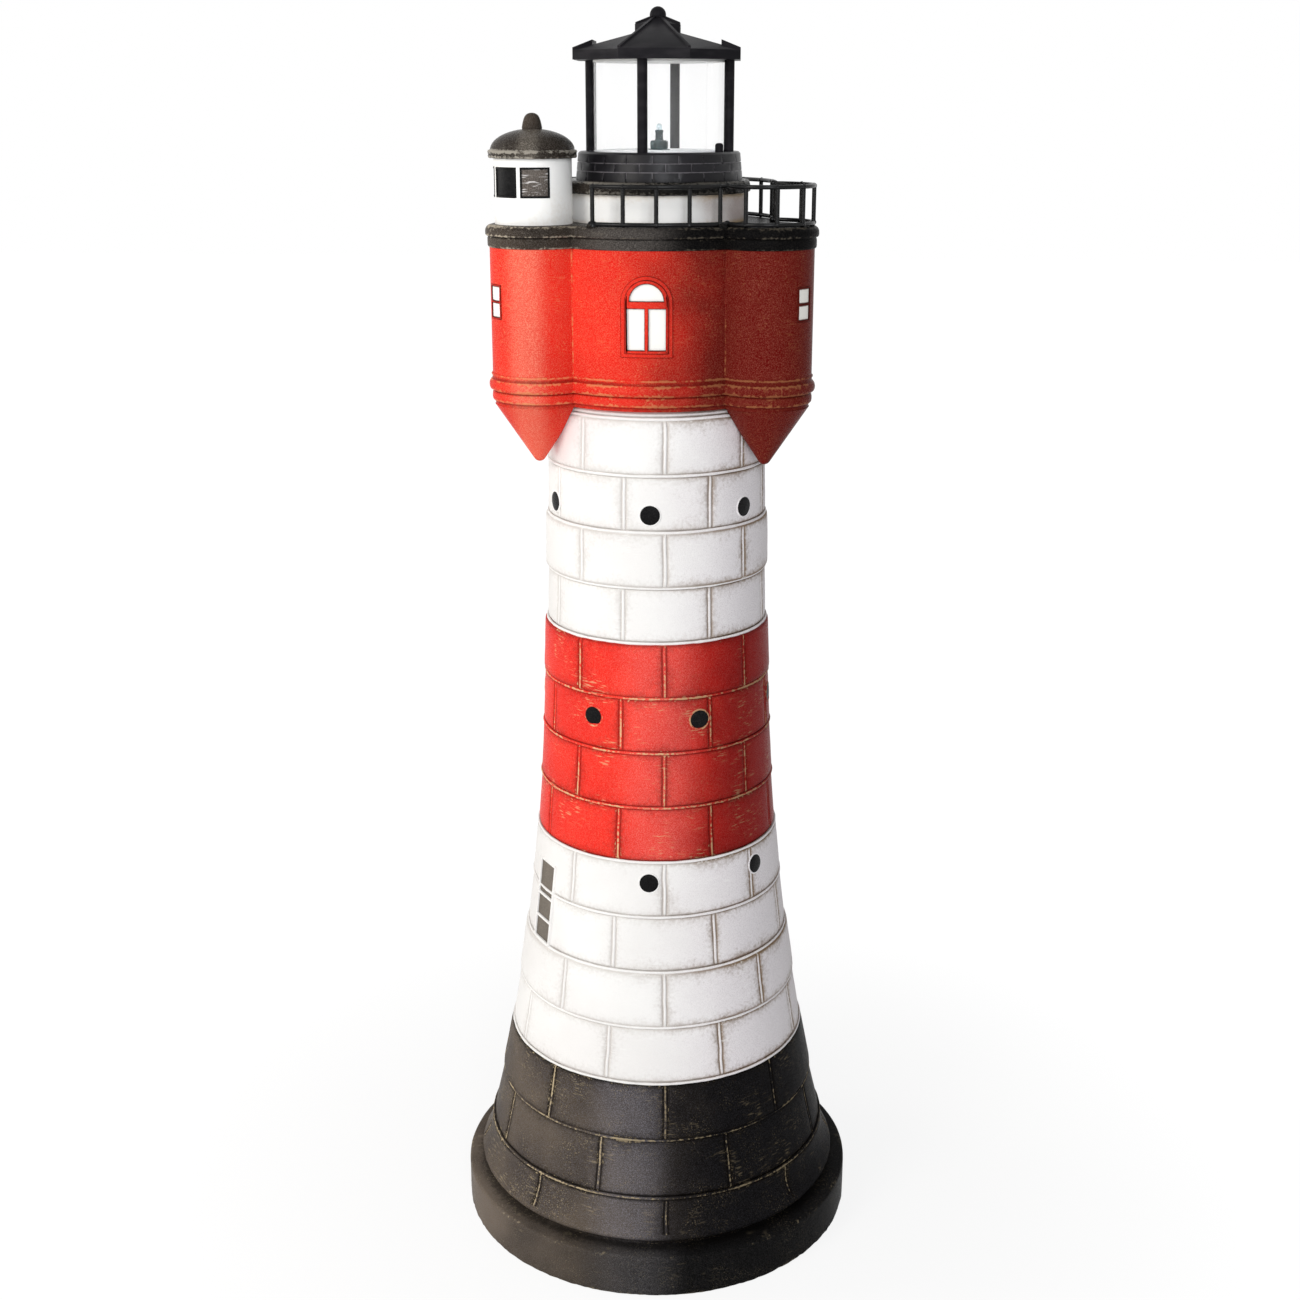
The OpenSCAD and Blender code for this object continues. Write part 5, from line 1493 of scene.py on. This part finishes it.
@dataclass
class Railing:
    """The wire railing with its blobs of solder and the filler on the deck."""

    shop: Workshop
    deck_z: float = 1015.4
    rail_up: float = 33.6
    wire_r: float = 1.9
    rail_r: float = 108.0
    loop_r: float = 41.5
    bay_c: float = 117.5

    def feet(self) -> list[Vector]:
        """Give the foot of every post."""
        pitch = 15.45
        feet = [polar(self.rail_r, -26.5 + index * pitch, self.deck_z) for index in range(5)]
        bay = polar(self.bay_c, 60.0, 0)
        feet += [bay + polar(self.loop_r, angle, self.deck_z)
                 for angle in (-24.0, 14.4, 51.0, 89.0, 133.0, 170.0)]
        for index in range(5):
            for side in (1, -1):
                feet.append(polar(self.rail_r, side * (88.7 + index * pitch), self.deck_z))
        rear = polar(self.bay_c, 180.0, 0)
        feet += [rear + polar(self.loop_r, angle, self.deck_z)
                 for angle in (110.0, 145.0, 180.0, 215.0, 250.0)]
        return feet

    def blob(self, place: Vector, radius: float, tall: float, rough: float, seed: float
             ) -> bpy.types.Object:
        """Make one uneven blob of filler or solder.

        Args:
            place: Its middle in metres.
            radius: Its radius in millimetres.
            tall: Its height as a share of its width.
            rough: Its unevenness as a share of its radius.
            seed: Makes it differ from its neighbours.

        Returns:
            The blob.
        """
        bpy.ops.object.select_all(action="DESELECT")
        bpy.ops.mesh.primitive_ico_sphere_add(subdivisions=3, radius=radius * MM)
        piece = bpy.context.object
        for vertex in piece.data.vertices:
            swell = 1 + rough * wobble(vertex.co, radius * 0.9, seed)
            vertex.co = Vector((vertex.co.x, vertex.co.y, vertex.co.z * tall)) * swell + place
        return piece

    def build(self) -> None:
        """Dress the wires and add solder at the posts and filler on the deck."""
        nodes = [f"{part}_{kind}" for part in ("front", "bay", "rear")
                 for kind in ("top_rail", "bottom_rail", "rail_posts")]
        self.shop.dress("wire_enamel", *nodes)
        blobs = []
        for index, foot in enumerate(self.feet()):
            for lift, size in ((self.wire_r, 2.5), (self.rail_up, 2.3)):
                at = foot + Vector((0, 0, lift * MM))
                blobs.append(self.blob(at, size, 0.95, 0.22, index + lift))
        solder = join("rail_solder", blobs)
        close_skin(solder, 60)
        self.shop.place(solder, "wire_enamel", Slot.WIRE)
        lumps = ((36.0, 108.0, 5.2), (39.5, 103.5, 4.4), (43.0, 108.5, 5.6), (46.5, 104.0, 3.6),
                 (-26.8, 108.6, 4.8))
        filler = join("deck_filler", [
            self.blob(polar(radius, angle, self.deck_z), size, 0.5, 0.55, angle)
            for angle, radius, size in lumps])
        close_skin(filler, 60)
        self.shop.place(filler, "coping_black", Slot.BLACK)


# ---------------------------------------------------------------- lantern


@dataclass
class Lantern:
    """The solar lantern: brick ring, posts, roof, glazing, light and electrics."""

    shop: Workshop
    aside: float = LANTERN_ASIDE
    ledge_z: float = 1076.2
    floor_h: float = 0.8
    glass_r: float = 59.4

    def floor(self) -> bpy.types.Object:
        """Make the pale floor plate with its moulded rings."""
        low, out = self.ledge_z, self.glass_r
        high = low + self.floor_h
        profile = [(0.0, low, 0, 0), (out, low, 0, 0), (out, high - 0.4, 0, 0),
                   (out - 0.4, high, 0, 0)]
        for ridge in (50.0, 34.0, 18.0):
            profile += [(ridge + 1.2, high, 0, 0), (ridge + 0.7, high + 0.5, 0.8, 0),
                        (ridge - 0.7, high + 0.5, 0.8, 0), (ridge - 1.2, high, 0, 0)]
        profile.append((0.0, high, 0, 0))
        return lathe("lamp_floor", profile, 120, (self.aside, 0.0), around=False)

    def lamp_holder(self) -> bpy.types.Object:
        """Make the lobed nut and stem that hold the light."""
        low = self.ledge_z + self.floor_h
        foot, flange = low + 0.9, low + 8.5

        def lobes(angle: float, radius: float, z: float) -> tuple[float, float]:
            """Give the nut its six rounded lobes."""
            on_nut = radius > 4.6 and z > foot
            return radius * (1 - 0.075 * (1 - math.cos(math.radians(6 * angle))) * on_nut), z

        profile = [(0, low, 0, 0), (9.9, low, 0, 0), (9.9, foot - 0.3, 1.0, 0),
                   (9.3, foot, 1.0, 0), (8.0, foot + 0.3, 0, 0), (8.6, foot + 1.2, 0.3, 0),
                   (8.7, flange - 2.0, 0.3, 0), (8.3, flange - 0.6, 0.8, 0),
                   (7.4, flange, 0.6, 0), (4.2, flange + 0.1, 0, 0), (3.7, flange + 0.8, 0, 0),
                   (3.45, flange + 2.0, 0.2, 0), (3.4, flange + 6.8, 0.2, 0),
                   (3.7, flange + 7.2, 0.7, 0), (3.7, flange + 8.8, 0.7, 0),
                   (3.3, flange + 9.2, 0.5, 0), (0, flange + 9.2, 0, 0)]
        return lathe("lamp_stem", profile, 72, (self.aside, 0.0), lobes, around=False)

    def sheet_seam(self) -> bpy.types.Object:
        """Make the overlap where the clear sheet's two ends meet."""
        low, high = self.ledge_z + self.floor_h + 0.2, 1152.4
        radius, middle, wide = self.glass_r + 0.12, 49.3, 1.0
        sunk, proud, lap, rows = 0.1, 0.18, 0.1, 12
        centre = Vector((self.aside, 0, 0)) * MM
        rings = []
        for row in range(rows + 1):
            z = low + (high - low) * row / rows
            corners = ((radius - sunk, middle - wide), (radius + proud, middle - wide),
                       (radius + proud, middle + lap), (radius - sunk, middle + lap))
            rings.append([Spot(polar(r, a, z) + centre) for r, a in corners])
        piece = loft("sheet_overlap", rings, False)
        edit(piece)
        bpy.ops.mesh.select_all(action="DESELECT")
        bpy.ops.mesh.select_non_manifold(extend=False)
        bpy.ops.mesh.edge_face_add()
        bpy.ops.mesh.select_all(action="SELECT")
        bpy.ops.mesh.normals_make_consistent(inside=False)
        bpy.ops.object.mode_set(mode="OBJECT")
        return piece

    def build(self) -> None:
        """Build and dress the lantern."""
        place, dress = self.shop.place, self.shop.dress
        place(softened("brick_ring", 0.25, "brick_moulding"), "brick_plastic", Slot.LANTERN,
              "lantern", ["brick_ring"])
        place(softened("roof", 0.45, "roof_moulding", 12.0), "lantern_plastic", Slot.LANTERN,
              "lantern", ["roof"])
        place(self.floor(), "floor_plastic", Slot.SILVER, "lantern", ["lantern_floor"])
        place(self.lamp_holder(), "led_plastic", Slot.LED, "lantern", ["led_holder"])
        place(self.sheet_seam(), "clear_acetate", Slot.SHEET, "lantern")
        dress("lantern_plastic", "lantern_posts", "finial_ball", "glazing_clip",
              "locating_skirt", "battery_box", "battery_cover", "switch_knob")
        dress("clear_acetate", "glazing")
        dress("ceiling_plastic", "ceiling_plate")
        dress("lens_resin", "led_lens")
        dress("solar_glass", "solar_panels")
        dress("bright_steel", "roof_screws", "battery_contacts", "switch_housing")
        dress("board_lacquer", "circuit_board")
        dress("cell_sleeve", "battery_cell")
        dress("lead_rubber", "panel_lead")


# ---------------------------------------------------------------- studio


@dataclass(frozen=True)
class Softbox:
    """A rectangular studio light."""

    name: str
    place: tuple[float, float, float]
    aim: tuple[float, float, float]
    size: tuple[float, float]
    power: float
    colour: tuple[float, float, float]

    def build(self) -> None:
        """Hang the light and turn it to what it lights."""
        data = bpy.data.lights.new(self.name, "AREA")
        data.shape = "RECTANGLE"
        data.size, data.size_y = self.size
        data.energy = self.power
        data.color = self.colour
        lamp = bpy.data.objects.new(self.name, data)
        lamp.location = self.place
        lamp.rotation_euler = (Vector(self.aim) - Vector(self.place)).to_track_quat(
            "-Z", "Y").to_euler()
        bpy.context.scene.collection.objects.link(lamp)


@dataclass
class Studio:
    """The camera, the lights, the pale floor and the white surround."""

    distance: float = 1.6622
    height: float = 1.1163
    turn: float = 4.7
    tilt: float = 17.21
    focal_px: float = 1760.0
    picture_px: float = 1300.0
    axis_px: float = 656.8
    sensor: float = 36.0
    floor_size: float = 24.0
    floor_glow: float = 1.04
    near: float = 0.22
    far: float = 0.9
    near_share: float = 0.82
    surround_light: float = 0.27

    def camera(self) -> None:
        """Set the camera at the photograph's angle."""
        data = bpy.data.cameras.new("camera")
        data.sensor_width = self.sensor
        data.lens = self.focal_px / self.picture_px * self.sensor
        data.shift_x = (self.picture_px / 2 - self.axis_px) / self.picture_px
        camera = bpy.data.objects.new("camera", data)
        turn = math.radians(self.turn)
        camera.location = (self.distance * math.sin(turn), -self.distance * math.cos(turn),
                           self.height)
        camera.rotation_euler = (math.radians(90 - self.tilt), 0, turn)
        bpy.context.scene.collection.objects.link(camera)
        bpy.context.scene.camera = camera

    def seen(self, graph: Graph) -> Socket:
        """Give 1 for rays from the camera, from gloss and through glass, and 0 for others."""
        path = graph.add("ShaderNodeLightPath", {}).outputs
        both = graph.math("MAXIMUM", path["Is Camera Ray"], path["Is Glossy Ray"])
        return graph.math("MAXIMUM", both, path["Is Transmission Ray"])

    def floor(self) -> None:
        """Lay the pale floor, which keeps a shadow between near and far of the axis."""
        bpy.ops.object.select_all(action="DESELECT")
        bpy.ops.mesh.primitive_plane_add(size=self.floor_size)
        floor = bpy.context.object
        floor.name = "studio_floor"
        material = bpy.data.materials.new("pale_floor")
        material.use_nodes = True
        graph = Graph(material.node_tree)
        nodes = material.node_tree.nodes
        nodes.remove(nodes["Principled BSDF"])
        matt = graph.add("ShaderNodeBsdfDiffuse", {"Color": (0.86, 0.86, 0.86, 1)})
        glow = graph.add("ShaderNodeEmission",
                         {"Color": (1, 1, 1, 1), "Strength": self.floor_glow})
        place = graph.add("ShaderNodeTexCoord", {}).outputs["Object"]
        away = graph.add("ShaderNodeVectorMath", {0: place}, operation="LENGTH").outputs["Value"]
        share = graph.spread(graph.band(away, self.near, self.far), self.near_share, 1.0)
        share = graph.math("MULTIPLY", self.seen(graph), share)
        mixed = graph.add("ShaderNodeMixShader", {0: share, 1: matt.outputs[0],
                                                  2: glow.outputs[0]})
        material.node_tree.links.new(mixed.outputs[0], nodes["Material Output"].inputs[0])
        floor.data.materials.append(material)

    def surround(self) -> None:
        """Make the white surround, dimmer as a light than as a background."""
        world = bpy.data.worlds.new("studio_white")
        bpy.context.scene.world = world
        world.use_nodes = True
        graph = Graph(world.node_tree)
        back = world.node_tree.nodes["Background"]
        back.inputs["Color"].default_value = (1, 1, 1, 1)
        strength = graph.spread(self.seen(graph), self.surround_light, 1.0)
        world.node_tree.links.new(strength, back.inputs["Strength"])

    def build(self) -> None:
        """Build the whole studio."""
        bpy.context.scene.view_settings.view_transform = "Standard"
        self.camera()
        self.floor()
        self.surround()
        for box in (
            Softbox("key_left", (-1.55, -1.95, 1.75), (0, 0, 0.6), (1.0, 1.9), 33.0,
                    (1.0, 0.97, 0.92)),
            Softbox("side_left", (-2.6, 0.35, 1.3), (0, 0, 0.6), (1.0, 2.0), 24.0,
                    (1.0, 0.97, 0.93)),
            Softbox("front_cool", (0.4, -2.4, 1.7), (0, 0, 0.5), (0.7, 1.6), 29.0,
                    (0.93, 0.96, 1.0)),
        ):
            box.build()


def main() -> None:
    logging.basicConfig(level=logging.INFO, format="%(message)s")
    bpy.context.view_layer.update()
    Studio().build()
    shop = Workshop(Paintbox())
    plan = Trefoil()
    for part in (Plinth(shop), Shaft(shop), Chamber(shop, plan), Deck(shop, plan), Turret(shop),
                 Railing(shop), Lantern(shop)):
        part.build()


if __name__ == "__main__":
    main()
